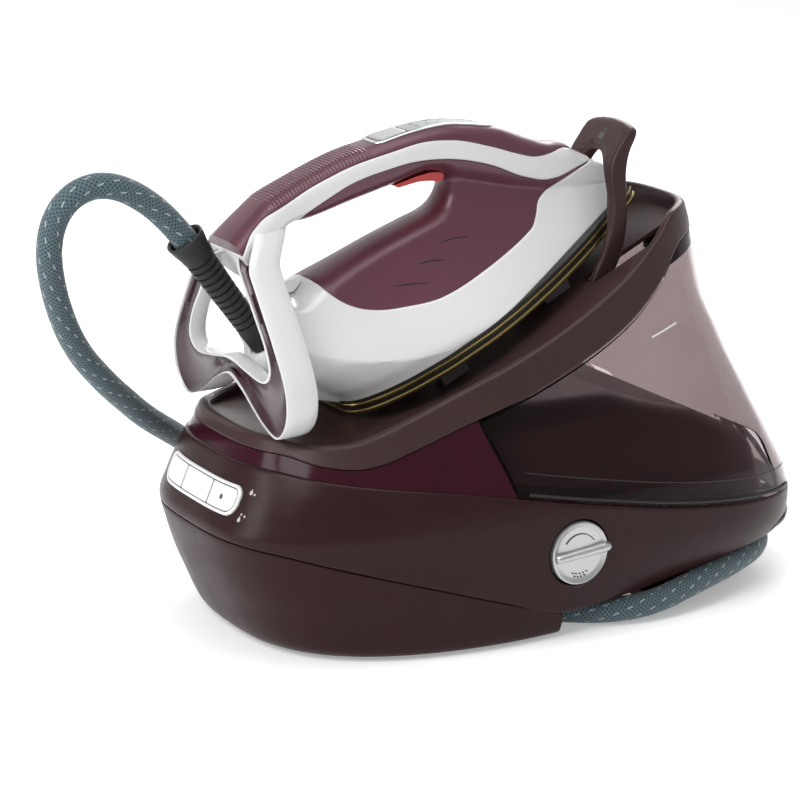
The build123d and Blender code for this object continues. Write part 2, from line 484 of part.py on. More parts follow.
ball_housing = biggest(IRON * ball_housing)
ball_housing = biggest(ball_housing - BOOT_LOC * Pos(0, 0, -1.2) * Cylinder(9.0, 60, align=(Align.CENTER, Align.CENTER, Align.MIN)))

iron_nodes = {
    "soleplate": soleplate, "sole_trim": sole_trim, "heating_block": heating_block, "block_cover": block_cover,
    "lower_body": lower_body, "saddle": saddle, "handle_cover": handle_cover, "handle_shell": handle_shell,
    "handle_liner": handle_liner, "display_bezel": display_bezel, "display_lens": display_lens, "mode_button": mode_button,
    "steam_trigger": steam_trigger, "heel_hoop": heel_hoop, "heel_insert": heel_insert,
}

nodes = {
    "lower_shell": lower_shell, "hose_channel": hose_channel, "upper_casing": upper_casing, "trim_band": trim_band,
    "tank_ledge": tank_ledge, "tank_bulkhead": tank_bulkhead, "works_cover": works_cover, "water_tank": water_tank, "filler_funnel": filler_funnel,
    "filler_flap": filler_flap, "outlet_valve": outlet_valve, "iron_rest": iron_rest, "rest_pads": rest_pads,
    "lock_hoop": lock_hoop, "lock_pin": lock_pin, "lock_brackets": lock_brackets,
    "panel_bezel": panel_bezel, "button_left": button_left, "button_middle": button_middle, "button_right": button_right,
    "panel_board": panel_board, "indicator_lenses": indicator_lenses,
    "boiler": boiler, "boiler_element": boiler_element, "boiler_thermostat": boiler_thermostat, "boiler_mounts": boiler_mounts,
    "collector_cap": collector_cap, "collector_rod": collector_rod, "collector_seal": collector_seal, "collector_sleeve": collector_sleeve,
    "pump": pump, "solenoid_valve": solenoid_valve, "main_board": main_board, "feed_tube": feed_tube, "steam_tube": steam_tube,
    "rubber_feet": rubber_feet, "casing_screws": casing_screws, "hose_outlet": hose_outlet, "mains_gland": mains_gland,
    "ball_housing": ball_housing, "cord_boot": cord_boot, "hose_loop": hose_loop, "hose_stowed": hose_stowed,
}
for k_, v_ in iron_nodes.items():
    nodes[k_] = IRON * v_

for k_, v_ in nodes.items():
    write(k_, v_)
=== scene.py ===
import json
import math

import bpy
import bmesh
import numpy as np
from mathutils import Vector, Matrix, geometry


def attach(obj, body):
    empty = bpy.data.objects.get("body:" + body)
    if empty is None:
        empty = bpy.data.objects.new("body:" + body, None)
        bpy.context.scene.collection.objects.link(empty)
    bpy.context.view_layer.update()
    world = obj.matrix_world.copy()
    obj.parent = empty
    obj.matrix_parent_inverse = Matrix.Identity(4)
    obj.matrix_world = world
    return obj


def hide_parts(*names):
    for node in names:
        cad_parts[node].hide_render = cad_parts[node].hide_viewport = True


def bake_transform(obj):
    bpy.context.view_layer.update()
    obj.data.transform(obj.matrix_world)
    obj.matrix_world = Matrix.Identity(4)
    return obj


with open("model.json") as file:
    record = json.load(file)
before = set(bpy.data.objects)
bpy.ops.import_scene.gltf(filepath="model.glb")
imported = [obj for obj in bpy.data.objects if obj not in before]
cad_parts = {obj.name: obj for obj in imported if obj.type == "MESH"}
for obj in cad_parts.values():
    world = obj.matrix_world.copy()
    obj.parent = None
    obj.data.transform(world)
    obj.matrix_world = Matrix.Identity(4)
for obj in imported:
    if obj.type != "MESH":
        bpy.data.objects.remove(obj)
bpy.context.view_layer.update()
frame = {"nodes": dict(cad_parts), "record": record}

scene = bpy.context.scene
NODES = frame["nodes"]

# ---------------------------------------------------------------------------
# camera: three-quarter view from the front left, slightly above, long lens
# ---------------------------------------------------------------------------
AZ, EL = math.radians(-29.2), math.radians(15.5)
BACK = Vector((math.sin(AZ) * math.cos(EL), -math.cos(AZ) * math.cos(EL), math.sin(EL)))
cam_data = bpy.data.cameras.new("view_camera")
cam_data.lens = 135.0
cam_data.sensor_width = 36.0
cam_data.clip_start = 0.1
cam_data.clip_end = 30.0
cam = bpy.data.objects.new("view_camera", cam_data)
scene.collection.objects.link(cam)
cam.location = (-0.97303, -1.62513, 0.65078)
cam.rotation_mode = "QUATERNION"
cam.rotation_quaternion = (-BACK).to_track_quat("-Z", "Y")
scene.camera = cam

# ---------------------------------------------------------------------------
# small tools
# ---------------------------------------------------------------------------


class Smooth:
    """monotone cubic through a table of (x, y)"""

    def __init__(self, table):
        t = np.array(table, float)
        self.x, self.y = t[:, 0], t[:, 1]
        h = np.diff(self.x)
        d = np.diff(self.y) / h
        m = np.zeros(len(self.x))
        m[0], m[-1] = d[0], d[-1]
        for i in range(1, len(m) - 1):
            if d[i - 1] * d[i] > 0:
                w1, w2 = 2 * h[i] + h[i - 1], h[i] + 2 * h[i - 1]
                m[i] = (w1 + w2) / (w1 / d[i - 1] + w2 / d[i])
        self.m = m

    def __call__(self, q):
        q = np.clip(np.asarray(q, float), self.x[0], self.x[-1])
        i = np.clip(np.searchsorted(self.x, q) - 1, 0, len(self.x) - 2)
        h = self.x[i + 1] - self.x[i]
        t = (q - self.x[i]) / h
        return ((2 * t ** 3 - 3 * t ** 2 + 1) * self.y[i] + (t ** 3 - 2 * t ** 2 + t) * h * self.m[i]
                + (-2 * t ** 3 + 3 * t ** 2) * self.y[i + 1] + (t ** 3 - t ** 2) * h * self.m[i + 1])


def catmull(points, per=8, closed=False):
    """dense points on a Catmull-Rom curve"""
    p = np.array(points, float)
    n = len(p)
    out = []
    for i in range(n if closed else n - 1):
        p0 = p[(i - 1) % n] if closed or i > 0 else 2 * p[0] - p[1]
        p1 = p[i]
        p2 = p[(i + 1) % n]
        p3 = p[(i + 2) % n] if closed or i + 2 < n else 2 * p[n - 1] - p[n - 2]
        for k in range(per):
            t = k / per
            out.append(0.5 * ((2 * p1) + (-p0 + p2) * t + (2 * p0 - 5 * p1 + 4 * p2 - p3) * t * t + (-p0 + 3 * p1 - 3 * p2 + p3) * t ** 3))
    if not closed:
        out.append(p[-1])
    return np.array(out)


def resample(points, n, closed=False):
    """n points evenly along a polyline"""
    p = np.array(points, float)
    if closed:
        p = np.vstack([p, p[:1]])
    s = np.concatenate([[0], np.cumsum(np.linalg.norm(np.diff(p, axis=0), axis=1))])
    q = np.linspace(0, s[-1], n + 1)[:-1] if closed else np.linspace(0, s[-1], n)
    return np.stack([np.interp(q, s, p[:, k]) for k in range(p.shape[1])], 1)


def rounded(poly, r, per=8):
    """polygon of the plane with every corner rounded to radius r (or a list of radii)"""
    out = []
    n = len(poly)
    for i in range(n):
        a, b, c = (np.array(poly[(i + k) % n], float) for k in (-1, 0, 1))
        rr = r[i] if isinstance(r, (list, tuple)) else r
        d1, d2 = (a - b) / np.linalg.norm(a - b), (c - b) / np.linalg.norm(c - b)
        ang = math.acos(max(-1, min(1, float(d1 @ d2))))
        if rr < 1e-6 or ang > math.pi - 0.02:
            out.append(b)
            continue
        t = min(rr / math.tan(ang / 2), 0.49 * np.linalg.norm(a - b), 0.49 * np.linalg.norm(c - b))
        rr = t * math.tan(ang / 2)
        bis = (d1 + d2) / np.linalg.norm(d1 + d2)
        cen = b + bis * (rr / math.sin(ang / 2))
        p1, p2 = b + d1 * t, b + d2 * t
        v1, v2 = p1 - cen, p2 - cen
        sweep_ = math.pi - ang
        sg = 1 if (v1[0] * v2[1] - v1[1] * v2[0]) > 0 else -1
        for k in range(per + 1):
            th = sg * sweep_ * k / per
            out.append(cen + np.array([v1[0] * math.cos(th) - v1[1] * math.sin(th), v1[0] * math.sin(th) + v1[1] * math.cos(th)]))
    return np.array(out)


def make(name, verts, faces, material, body=None, sharp=38.0, mm=True, merge=0.0):
    v = np.array(verts, float) * (0.001 if mm else 1.0)
    me = bpy.data.meshes.new(name)
    me.from_pydata([tuple(q) for q in v], [], [tuple(int(i) for i in f) for f in faces])
    me.validate()
    bm = bmesh.new()
    bm.from_mesh(me)
    if merge > 0:
        bmesh.ops.remove_doubles(bm, verts=bm.verts, dist=merge)
        bmesh.ops.dissolve_degenerate(bm, dist=1e-7, edges=bm.edges)
    bmesh.ops.recalc_face_normals(bm, faces=bm.faces)
    bm.to_mesh(me)
    bm.free()
    finish_mesh(me, sharp)
    o = bpy.data.objects.new(name, me)
    scene.collection.objects.link(o)
    me.materials.append(material)
    if body:
        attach(o, body)
    return o


def finish_mesh(me, sharp=38.0):
    me.polygons.foreach_set("use_smooth", [True] * len(me.polygons))
    if sharp:
        me.set_sharp_from_angle(angle=math.radians(sharp))
    me.update()


def grid_faces(rows, cols, close_rows=False, close_cols=True, base=0):
    out = []
    for r in range(rows if close_rows else rows - 1):
        r2 = (r + 1) % rows
        for c in range(cols if close_cols else cols - 1):
            c2 = (c + 1) % cols
            out.append((base + r * cols + c, base + r * cols + c2, base + r2 * cols + c2, base + r2 * cols + c))
    return out


def apply_mods(o):
    dg = bpy.context.evaluated_depsgraph_get()
    dg.update()
    me = bpy.data.meshes.new_from_object(o.evaluated_get(dg), preserve_all_data_layers=True, depsgraph=dg)
    o.modifiers.clear()
    old = o.data
    o.data = me
    bpy.data.meshes.remove(old)
    return o


def cutter(name, verts, faces):
    c = make(name, verts, faces, PLAIN)
    return c


def boolean(o, cutters, op="DIFFERENCE", sharp=38.0):
    for c in cutters:
        m = o.modifiers.new("cut", "BOOLEAN")
        m.operation = op
        m.solver = "EXACT"
        m.object = c
    apply_mods(o)
    for c in cutters:
        me = c.data
        bpy.data.objects.remove(c)
        bpy.data.meshes.remove(me)
    finish_mesh(o.data, sharp)
    return o


def box_mesh(x0, x1, y0, y1, z0, z1):
    v = [(x, y, z) for z in (z0, z1) for y in (y0, y1) for x in (x0, x1)]
    f = [(0, 2, 3, 1), (4, 5, 7, 6), (0, 1, 5, 4), (2, 6, 7, 3), (0, 4, 6, 2), (1, 3, 7, 5)]
    return v, f


def lathe(profile, origin, axis, n=64, ref=None):
    """surface of revolution: profile is (radius, height) pairs, first and last on the axis or a closed ring"""
    ax = Vector(axis).normalized()
    e1 = Vector(ref).normalized() if ref else ax.orthogonal().normalized()
    e1 = (e1 - ax * e1.dot(ax)).normalized()
    e2 = ax.cross(e1)
    o = Vector(origin)
    v = []
    for r, h in profile:
        for k in range(n):
            t = 2 * math.pi * k / n
            v.append(o + ax * h + (e1 * math.cos(t) + e2 * math.sin(t)) * r)
    return v


# ---------------------------------------------------------------------------
# materials
# ---------------------------------------------------------------------------


class Nodes:
    def __init__(self, name):
        self.m = bpy.data.materials.new(name)
        self.m.use_nodes = True
        self.t = self.m.node_tree
        self.t.nodes.clear()
        self.out = self.t.nodes.new("ShaderNodeOutputMaterial")
        self.b = self.t.nodes.new("ShaderNodeBsdfPrincipled")
        self.t.links.new(self.b.outputs[0], self.out.inputs["Surface"])
        self.co = self.t.nodes.new("ShaderNodeTexCoord").outputs["Object"]

    def n(self, kind, **kw):
        x = self.t.nodes.new(kind)
        for k, v in kw.items():
            setattr(x, k, v)
        return x

    def link(self, a, b):
        self.t.links.new(a, b)

    def set(self, **kw):
        for k, v in kw.items():
            self.b.inputs[k.replace("_", " ")].default_value = v

    def noise(self, scale, detail=3.0, rough=0.55, vec=None, dims="3D"):
        x = self.n("ShaderNodeTexNoise")
        x.noise_dimensions = dims
        x.inputs["Scale"].default_value = scale
        x.inputs["Detail"].default_value = detail
        x.inputs["Roughness"].default_value = rough
        self.link(vec or self.co, x.inputs["Vector"])
        return x.outputs["Fac"]

    def ramp(self, fac, stops):
        r = self.n("ShaderNodeValToRGB")
        el = r.color_ramp.elements
        while len(el) < len(stops):
            el.new(0.5)
        for e, (p, c) in zip(el, stops):
            e.position = p
            e.color = c if len(c) == 4 else (*c, 1.0)
        self.link(fac, r.inputs["Fac"])
        return r.outputs["Color"]

    def range(self, fac, a, b, c, d):
        r = self.n("ShaderNodeMapRange")
        r.inputs["From Min"].default_value = a
        r.inputs["From Max"].default_value = b
        r.inputs["To Min"].default_value = c
        r.inputs["To Max"].default_value = d
        self.link(fac, r.inputs["Value"])
        return r.outputs["Result"]

    def math(self, op, a, b=None, c=None):
        r = self.n("ShaderNodeMath")
        r.operation = op
        for i, q in enumerate((a, b, c)):
            if q is None:
                continue
            if isinstance(q, (int, float)):
                r.inputs[i].default_value = q
            else:
                self.link(q, r.inputs[i])
        return r.outputs[0]

    def bump(self, height, strength=0.2, dist=0.001, chain=None):
        r = self.n("ShaderNodeBump")
        r.inputs["Strength"].default_value = strength
        r.inputs["Distance"].default_value = dist
        self.link(height, r.inputs["Height"])
        if chain is not None:
            self.link(chain, r.inputs["Normal"])
        return r.outputs["Normal"]


def tone(c, k):
    return tuple(max(0.0, min(1.0, q * k)) for q in c)


def plastic(name, colour, rough=(0.3, 0.4), grain=0.12, grain_scale=2200.0, vary=0.12, coat=0.0, coat_rough=0.1, spec=0.5, metal=0.0, dust=0.03, cloud=18.0, sss=0.0):
    """moulded plastic: fine spark-eroded grain, faint cloudy tone and small rubbed marks"""
    s = Nodes(name)
    s.set(Specular_IOR_Level=spec, Metallic=metal, Coat_Weight=coat, Coat_Roughness=coat_rough)
    if sss:
        s.set(Subsurface_Weight=sss, Subsurface_Scale=0.004)
    cl = s.noise(cloud, 4.0)
    col = s.ramp(cl, [(0.25, tone(colour, 1 - vary)), (0.75, tone(colour, 1 + vary))])
    s.link(col, s.b.inputs["Base Color"])
    fine = s.noise(grain_scale, 2.0, 0.6)
    broad = s.noise(60.0, 5.0, 0.6)
    mix = s.math("MULTIPLY_ADD", s.range(broad, 0.3, 0.7, 0.0, 1.0), rough[1] - rough[0], rough[0])
    # hairline scuffs, stretched noise
    mp = s.n("ShaderNodeMapping")
    mp.inputs["Scale"].default_value = (40.0, 900.0, 300.0)
    mp.inputs["Rotation"].default_value = (0.3, 0.5, 0.7)
    s.link(s.co, mp.inputs["Vector"])
    sc = s.n("ShaderNodeTexNoise")
    sc.inputs["Scale"].default_value = 1.0
    sc.inputs["Detail"].default_value = 2.0
    s.link(mp.outputs[0], sc.inputs["Vector"])
    scuff = s.range(sc.outputs["Fac"], 0.66, 0.74, 0.0, dust)
    s.link(s.math("ADD", mix, scuff), s.b.inputs["Roughness"])
    nrm = s.bump(fine, grain, 0.0002)
    s.link(s.bump(cl, 0.04, 0.001, nrm), s.b.inputs["Normal"])
    return s.m


def metal(name, colour, rough=0.3, brush=(1, 1, 1), strength=0.1, vary=0.08):
    s = Nodes(name)
    s.set(Metallic=1.0)
    mp = s.n("ShaderNodeMapping")
    mp.inputs["Scale"].default_value = brush
    s.link(s.co, mp.inputs["Vector"])
    n = s.noise(900.0, 3.0, 0.6, mp.outputs[0])
    cl = s.noise(25.0, 4.0)
    s.link(s.ramp(cl, [(0.3, tone(colour, 1 - vary)), (0.7, tone(colour, 1 + vary))]), s.b.inputs["Base Color"])
    s.link(s.range(n, 0.3, 0.7, rough * 0.75, rough * 1.25), s.b.inputs["Roughness"])
    s.link(s.bump(n, strength, 0.0002), s.b.inputs["Normal"])
    return s.m


PLAIN = bpy.data.materials.new("cut")
BROWN = plastic("casing_brown", (0.0250, 0.0082, 0.0090), (0.24, 0.34), 0.10, 2600, 0.10, spec=0.16)
BROWN_LOW = plastic("casing_brown_matt", (0.0260, 0.0082, 0.0092), (0.30, 0.40), 0.14, 2400, 0.10, spec=0.14)
# dark plastic of the inner parts; on the tank's upper rib it is painted shade under the ledge
DARK = plastic("inner_dark_plastic_and_ledge_shade", (0.012, 0.008, 0.008), (0.4, 0.55), 0.15, 1800, 0.15)
TAUPE = plastic("rest_taupe", (0.046, 0.024, 0.024), (0.28, 0.38), 0.12, 2400, 0.08, spec=0.22, metal=0.10)
TRIM = plastic("trim_burgundy", (0.0300, 0.0030, 0.0100), (0.12, 0.18), 0.02, 2600, 0.08, spec=0.14, coat=0.05, coat_rough=0.05)
PLUM = plastic("iron_plum", (0.100, 0.026, 0.043), (0.30, 0.40), 0.14, 2600, 0.08, spec=0.5, metal=0.15, coat=0.25, coat_rough=0.28)
PLUM_DEEP = plastic("iron_plum_deep", (0.030, 0.006, 0.012), (0.24, 0.34), 0.10, 2600, 0.10, spec=0.5, coat=0.4, coat_rough=0.2)
WHITE = plastic("white_gloss", (0.70, 0.70, 0.70), (0.16, 0.24), 0.03, 2600, 0.015, spec=0.5, coat=0.5, coat_rough=0.06, sss=0.05)
WHITE_SATIN = plastic("white_satin", (0.74, 0.74, 0.73), (0.30, 0.38), 0.06, 2600, 0.02)
KEY_WHITE = plastic("key_white", (0.72, 0.73, 0.74), (0.28, 0.36), 0.05, 2600, 0.02, coat=0.3, coat_rough=0.15)
SILVER = plastic("silver_paint", (0.52, 0.52, 0.52), (0.30, 0.38), 0.10, 3200, 0.04, metal=0.85)
CHROME = metal("chrome", (0.72, 0.74, 0.75), 0.08, (1, 1, 1), 0.01, 0.03)
GOLD = metal("sole_gold", (0.34, 0.27, 0.11), 0.26, (1, 12, 1), 0.06)
SOLE = metal("sole_face", (0.40, 0.36, 0.27), 0.22, (1, 14, 1), 0.05)
STEEL = metal("steel", (0.50, 0.50, 0.49), 0.30, (12, 1, 1), 0.12)
ALU = metal("cast_aluminium", (0.48, 0.48, 0.47), 0.5, (1, 1, 1), 0.5, 0.12)
BRASS = metal("brass", (0.62, 0.44, 0.16), 0.28, (1, 1, 6), 0.10)
BLACK = plastic("black_plastic", (0.010, 0.010, 0.010), (0.34, 0.46), 0.14, 2400, 0.15)
BOOT = plastic("boot_rubber", (0.011, 0.013, 0.012), (0.42, 0.55), 0.30, 1600, 0.18, spec=0.4)
RUBBER = plastic("foot_rubber", (0.016, 0.016, 0.016), (0.6, 0.75), 0.35, 900, 0.2, spec=0.3)
SILICONE = plastic("silicone_pads", (0.10, 0.085, 0.08), (0.5, 0.6), 0.2, 1200, 0.1)
RED = plastic("trigger_red", (0.55, 0.012, 0.010), (0.25, 0.33), 0.05, 2400, 0.06, coat=0.4)
# dark line colour; on the tank's lowest rib it is painted shade where the tank meets the band
LINE = plastic("groove_dark_and_ledge_shade", (0.006, 0.003, 0.004), (0.5, 0.6), 0.05, 2400, 0.1)
ICON = plastic("printed_grey", (0.42, 0.40, 0.39), (0.45, 0.55), 0.05, 2400, 0.05)
ICON_DARK = plastic("printed_dark", (0.06, 0.06, 0.06), (0.45, 0.55), 0.05, 2400, 0.05)


def glass(name, colour, rough=0.04, ior=1.45, weight=1.0):
    s = Nodes(name)
    s.set(Transmission_Weight=weight, IOR=ior)
    cl = s.noise(14.0, 3.0)
    s.link(s.ramp(cl, [(0.3, tone(colour, 0.97)), (0.7, tone(colour, 1.03))]), s.b.inputs["Base Color"])
    n = s.noise(70.0, 4.0)
    s.link(s.range(n, 0.3, 0.7, rough * 0.6, rough * 1.5), s.b.inputs["Roughness"])
    s.link(s.bump(s.noise(3.0, 1.0), 0.01, 0.001), s.b.inputs["Normal"])
    return s.m


SMOKE = glass("tank_smoke", (0.46, 0.40, 0.405), 0.012, 1.20)
HOOD = plastic("hood_maroon", (0.110, 0.036, 0.042), (0.30, 0.40), 0.14, 2400, 0.10, spec=0.30)
CLEAR = glass("lens_clear", (0.93, 0.95, 0.95), 0.03, 1.45)


def pcb_material():
    s = Nodes("circuit_board")
    v = s.n("ShaderNodeTexVoronoi")
    v.feature = "F1"
    v.distance = "CHEBYCHEV"
    v.inputs["Scale"].default_value = 260.0
    s.link(s.co, v.inputs["Vector"])
    tr = s.ramp(v.outputs["Distance"], [(0.36, (0.006, 0.06, 0.022)), (0.42, (0.30, 0.20, 0.06))])
    s.link(tr, s.b.inputs["Base Color"])
    s.link(s.range(s.noise(200), 0.3, 0.7, 0.3, 0.5), s.b.inputs["Roughness"])
    s.link(s.bump(v.outputs["Distance"], 0.2, 0.0003), s.b.inputs["Normal"])
    return s.m


PCB = pcb_material()


def lcd_material():
    s = Nodes("display_glass")
    w = s.n("ShaderNodeTexNoise")
    w.inputs["Scale"].default_value = 30.0
    s.link(s.co, w.inputs["Vector"])
    s.link(s.ramp(w.outputs["Fac"], [(0.35, (0.05, 0.07, 0.06)), (0.65, (0.16, 0.20, 0.18))]), s.b.inputs["Base Color"])
    s.link(s.range(s.noise(300), 0.3, 0.7, 0.08, 0.16), s.b.inputs["Roughness"])
    s.set(Coat_Weight=1.0, Coat_Roughness=0.03)
    s.link(s.bump(s.noise(500), 0.02, 0.0003), s.b.inputs["Normal"])
    return s.m


LCD = lcd_material()


def hose_material():
    """braided sleeve: slate blue strands crossing, pale stitches in helical rows"""
    s = Nodes("hose_braid")
    uvn = s.n("ShaderNodeUVMap")
    uvn.uv_map = "along"
    sep = s.n("ShaderNodeSeparateXYZ")
    s.link(uvn.outputs[0], sep.inputs[0])
    L, A = sep.outputs[0], sep.outputs[1]      # L: metres along * 100, A: turns 0..1
    # strands: two families of helices
    k1 = s.math("ADD", s.math("MULTIPLY", L, 3.6), s.math("MULTIPLY", A, 14.0))
    k2 = s.math("SUBTRACT", s.math("MULTIPLY", L, 3.6), s.math("MULTIPLY", A, 14.0))
    f1 = s.math("SINE", s.math("MULTIPLY", k1, 2 * math.pi))
    f2 = s.math("SINE", s.math("MULTIPLY", k2, 2 * math.pi))
    weave = s.math("MAXIMUM", f1, f2)
    w01 = s.range(weave, -1, 1, 0, 1)
    base = s.ramp(w01, [(0.15, (0.018, 0.028, 0.033)), (0.55, (0.050, 0.080, 0.094)), (1.0, (0.088, 0.134, 0.154))])
    # pale stitches: rows along the hose that creep round it, dashes 4 mm long
    row = s.math("FRACT", s.math("ADD", s.math("MULTIPLY", A, 6.0), s.math("MULTIPLY", L, 0.42)))
    inrow = s.math("LESS_THAN", s.math("ABSOLUTE", s.math("SUBTRACT", row, 0.5)), 0.055)
    idx = s.math("FLOOR", s.math("ADD", s.math("MULTIPLY", A, 6.0), s.math("MULTIPLY", L, 0.42)))
    ph = s.math("FRACT", s.math("ADD", s.math("MULTIPLY", L, 1.15), s.math("MULTIPLY", idx, 0.37)))
    dash = s.math("LESS_THAN", ph, 0.40)
    on = s.math("MULTIPLY", inrow, dash)
    mix = s.n("ShaderNodeMix")
    mix.data_type = "RGBA"
    s.link(on, mix.inputs["Factor"])
    s.link(base, mix.inputs["A"])
    mix.inputs["B"].default_value = (0.33, 0.38, 0.38, 1)
    s.link(mix.outputs["Result"], s.b.inputs["Base Color"])
    s.link(s.range(s.noise(1500), 0.3, 0.7, 0.62, 0.8), s.b.inputs["Roughness"])
    s.set(Specular_IOR_Level=0.3, Sheen_Weight=0.25, Sheen_Roughness=0.5)
    h = s.math("ADD", w01, s.math("MULTIPLY", on, 0.6))
    s.link(s.bump(h, 0.5, 0.0004), s.b.inputs["Normal"])
    return s.m


HOSE = hose_material()

# ---------------------------------------------------------------------------
# steam hose: one braided tube on the same route as the part's two runs
# ---------------------------------------------------------------------------
B0 = np.array((-163.0, 0.0, 184.0))
B1 = np.array((-216.0, 0.0, 258.0))
BD = (B1 - B0) / np.linalg.norm(B1 - B0)
H0 = B0 + BD * 80.0
SPLIT = np.array((-226.0, 71.5, 139.3))
SD = (SPLIT - np.array((-244.6, 58, 155.6)))
SD = SD / np.linalg.norm(SD)
ROUTE = [tuple(H0), tuple(H0 + BD * 26), (-251, 1, 291), (-273, 4, 296), (-291.5, 9, 285), (-298.5, 17, 260), (-291, 27, 224), (-273, 40, 186), (-244.6, 58, 155.6), tuple(SPLIT),
         tuple(SPLIT + SD * 31), (-166, 122, 94), (-122, 164, 62), (-84, 208, 30), (-36, 248, 10), (28, 270, 8.8), (96, 276, 8.8), (158, 254, 8.8), (204, 208, 9.2), (220, 152, 13), (214, 100, 20), (202, 48, 22.5), (196, 4, 22.5), (188, -40, 22.5), (166, -78, 22.5), (128, -100, 21.5), (92, -110, 17.5), (56, -116, 10.8), (24, -109, 8.8), (-2, -90, 8.8), (-28, -79, 9.0), (-54, -73.5, 9.2)]
crv = bpy.data.curves.new("hose_line", "CURVE")
crv.dimensions = "3D"
spl = crv.splines.new("NURBS")
spl.points.add(len(ROUTE) - 1)
for p_, q_ in zip(spl.points, ROUTE):
    p_.co = (q_[0] * 0.001, q_[1] * 0.001, q_[2] * 0.001, 1.0)
spl.order_u = 3
spl.use_endpoint_u = True
crv.resolution_u = 24
line_ob = bpy.data.objects.new("hose_line", crv)
scene.collection.objects.link(line_ob)
dg0 = bpy.context.evaluated_depsgraph_get()
line_me = bpy.data.meshes.new_from_object(line_ob.evaluated_get(dg0))
line = np.array([v.co for v in line_me.vertices], float)
bpy.data.objects.remove(line_ob)
bpy.data.meshes.remove(line_me)
seg = np.linalg.norm(np.diff(line, axis=0), axis=1)
HOSE_LEN = float(seg.sum())
STEP, AROUND, HR = 0.0010, 40, 0.0080
path = resample(line, int(HOSE_LEN / STEP) + 1)
tan = np.gradient(path, axis=0)
tan /= np.linalg.norm(tan, axis=1)[:, None]
nrm = np.zeros_like(path)
nrm[0] = np.array((0, 1, 0)) - tan[0] * tan[0][1]
nrm[0] /= np.linalg.norm(nrm[0])
for i in range(1, len(path)):
    q_ = nrm[i - 1] - tan[i] * (nrm[i - 1] @ tan[i])
    nrm[i] = q_ / np.linalg.norm(q_)
bi = np.cross(tan, nrm)
hv, huv = [], []
arc = np.concatenate([[0], np.cumsum(np.linalg.norm(np.diff(path, axis=0), axis=1))])
ths = np.arange(AROUND) / AROUND
for i in range(len(path)):
    l_ = arc[i] * 100
    w1 = np.sin(2 * np.pi * (l_ * 3.6 + ths * 14))
    w2 = np.sin(2 * np.pi * (l_ * 3.6 - ths * 14))
    rr = HR - 0.00010 + 0.00016 * np.maximum(w1, w2)
    ring_ = path[i] + (nrm[i] * np.cos(2 * np.pi * ths)[:, None] + bi[i] * np.sin(2 * np.pi * ths)[:, None]) * rr[:, None]
    hv.append(ring_)
hv = np.concatenate(hv)
nring = len(path)
hf = grid_faces(nring, AROUND)
hose_me = bpy.data.meshes.new("steam_hose")
vv = [tuple(q) for q in hv] + [tuple(path[0]), tuple(path[-1])]
ia, ib = len(hv), len(hv) + 1
caps = [(ia, (c + 1) % AROUND, c) for c in range(AROUND)]
last = (nring - 1) * AROUND
caps += [(ib, last + c, last + (c + 1) % AROUND) for c in range(AROUND)]
hose_me.from_pydata(vv, [], hf + caps)
uv = hose_me.uv_layers.new(name="along")
uvs = np.zeros((len(hose_me.loops), 2), np.float32)
li = 0
for p_ in hose_me.polygons:
    n_ = p_.index
    if n_ < len(hf):
        r_, c_ = divmod(n_, AROUND)
        for k, (a_, b_) in enumerate(((0, 0), (0, 1), (1, 1), (1, 0))):
            uvs[p_.loop_start + k] = (arc[r_ + a_] * 100, (c_ + b_) / AROUND)
    else:
        for k in range(3):
            uvs[p_.loop_start + k] = (0.0, 0.0)
uv.data.foreach_set("uv", uvs.ravel())
finish_mesh(hose_me, 0)
bmn = bmesh.new()
bmn.from_mesh(hose_me)
bmesh.ops.recalc_face_normals(bmn, faces=bmn.faces)
bmn.to_mesh(hose_me)
bmn.free()
hose_me.materials.append(HOSE)
hose = bpy.data.objects.new("steam_hose", hose_me)
scene.collection.objects.link(hose)
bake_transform(hose)
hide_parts("hose_loop", "hose_stowed")
print("hose length", HOSE_LEN)

# ---------------------------------------------------------------------------
# materials of the carried-over CAD nodes
# ---------------------------------------------------------------------------
CAD_MAT = {
    "lower_shell": BROWN_LOW, "tank_ledge": DARK, "hose_channel": DARK, "upper_casing": BROWN, "trim_band": TRIM, "tank_bulkhead": DARK,
    "works_cover": DARK, "water_tank": SMOKE, "filler_funnel": BLACK, "filler_flap": BLACK, "outlet_valve": STEEL, "iron_rest": TAUPE,
    "rest_pads": SILICONE, "lock_hoop": TAUPE, "lock_pin": STEEL, "lock_brackets": DARK, "panel_bezel": WHITE, "button_left": KEY_WHITE,
    "button_middle": KEY_WHITE, "button_right": KEY_WHITE, "panel_board": PCB, "indicator_lenses": ICON, "boiler": STEEL, "boiler_element": STEEL,
    "boiler_thermostat": BLACK, "boiler_mounts": ALU, "collector_cap": SILVER, "collector_rod": BRASS, "collector_seal": SILICONE, "collector_sleeve": BLACK,
    "pump": BLACK, "solenoid_valve": BRASS, "main_board": PCB, "feed_tube": SILICONE, "steam_tube": SILICONE, "rubber_feet": RUBBER, "casing_screws": STEEL,
    "hose_outlet": BLACK, "mains_gland": BLACK, "ball_housing": WHITE_SATIN, "cord_boot": BOOT, "soleplate": GOLD, "sole_trim": BLACK, "heating_block": ALU,
    "block_cover": STEEL, "lower_body": WHITE, "saddle": PLUM, "handle_cover": PLUM, "handle_shell": WHITE, "handle_liner": PLUM_DEEP, "display_bezel": CHROME,
    "display_lens": CLEAR, "mode_button": KEY_WHITE, "steam_trigger": RED, "heel_hoop": WHITE, "heel_insert": PLUM_DEEP,
}
SLOTS = {}
for body_, names_ in frame["record"]["behaviour"]["bodies"].items():
    pass
for n_, m_ in CAD_MAT.items():
    if n_ in NODES:
        me_ = NODES[n_].data
        me_.materials.clear()
        me_.materials.append(m_)

#IRON_PIECES_START
# ---------------------------------------------------------------------------
# the iron, drawn in its own side view: u forward along the sole, w up from it
# ---------------------------------------------------------------------------
CT, ST = math.cos(math.radians(26)), math.sin(math.radians(26))


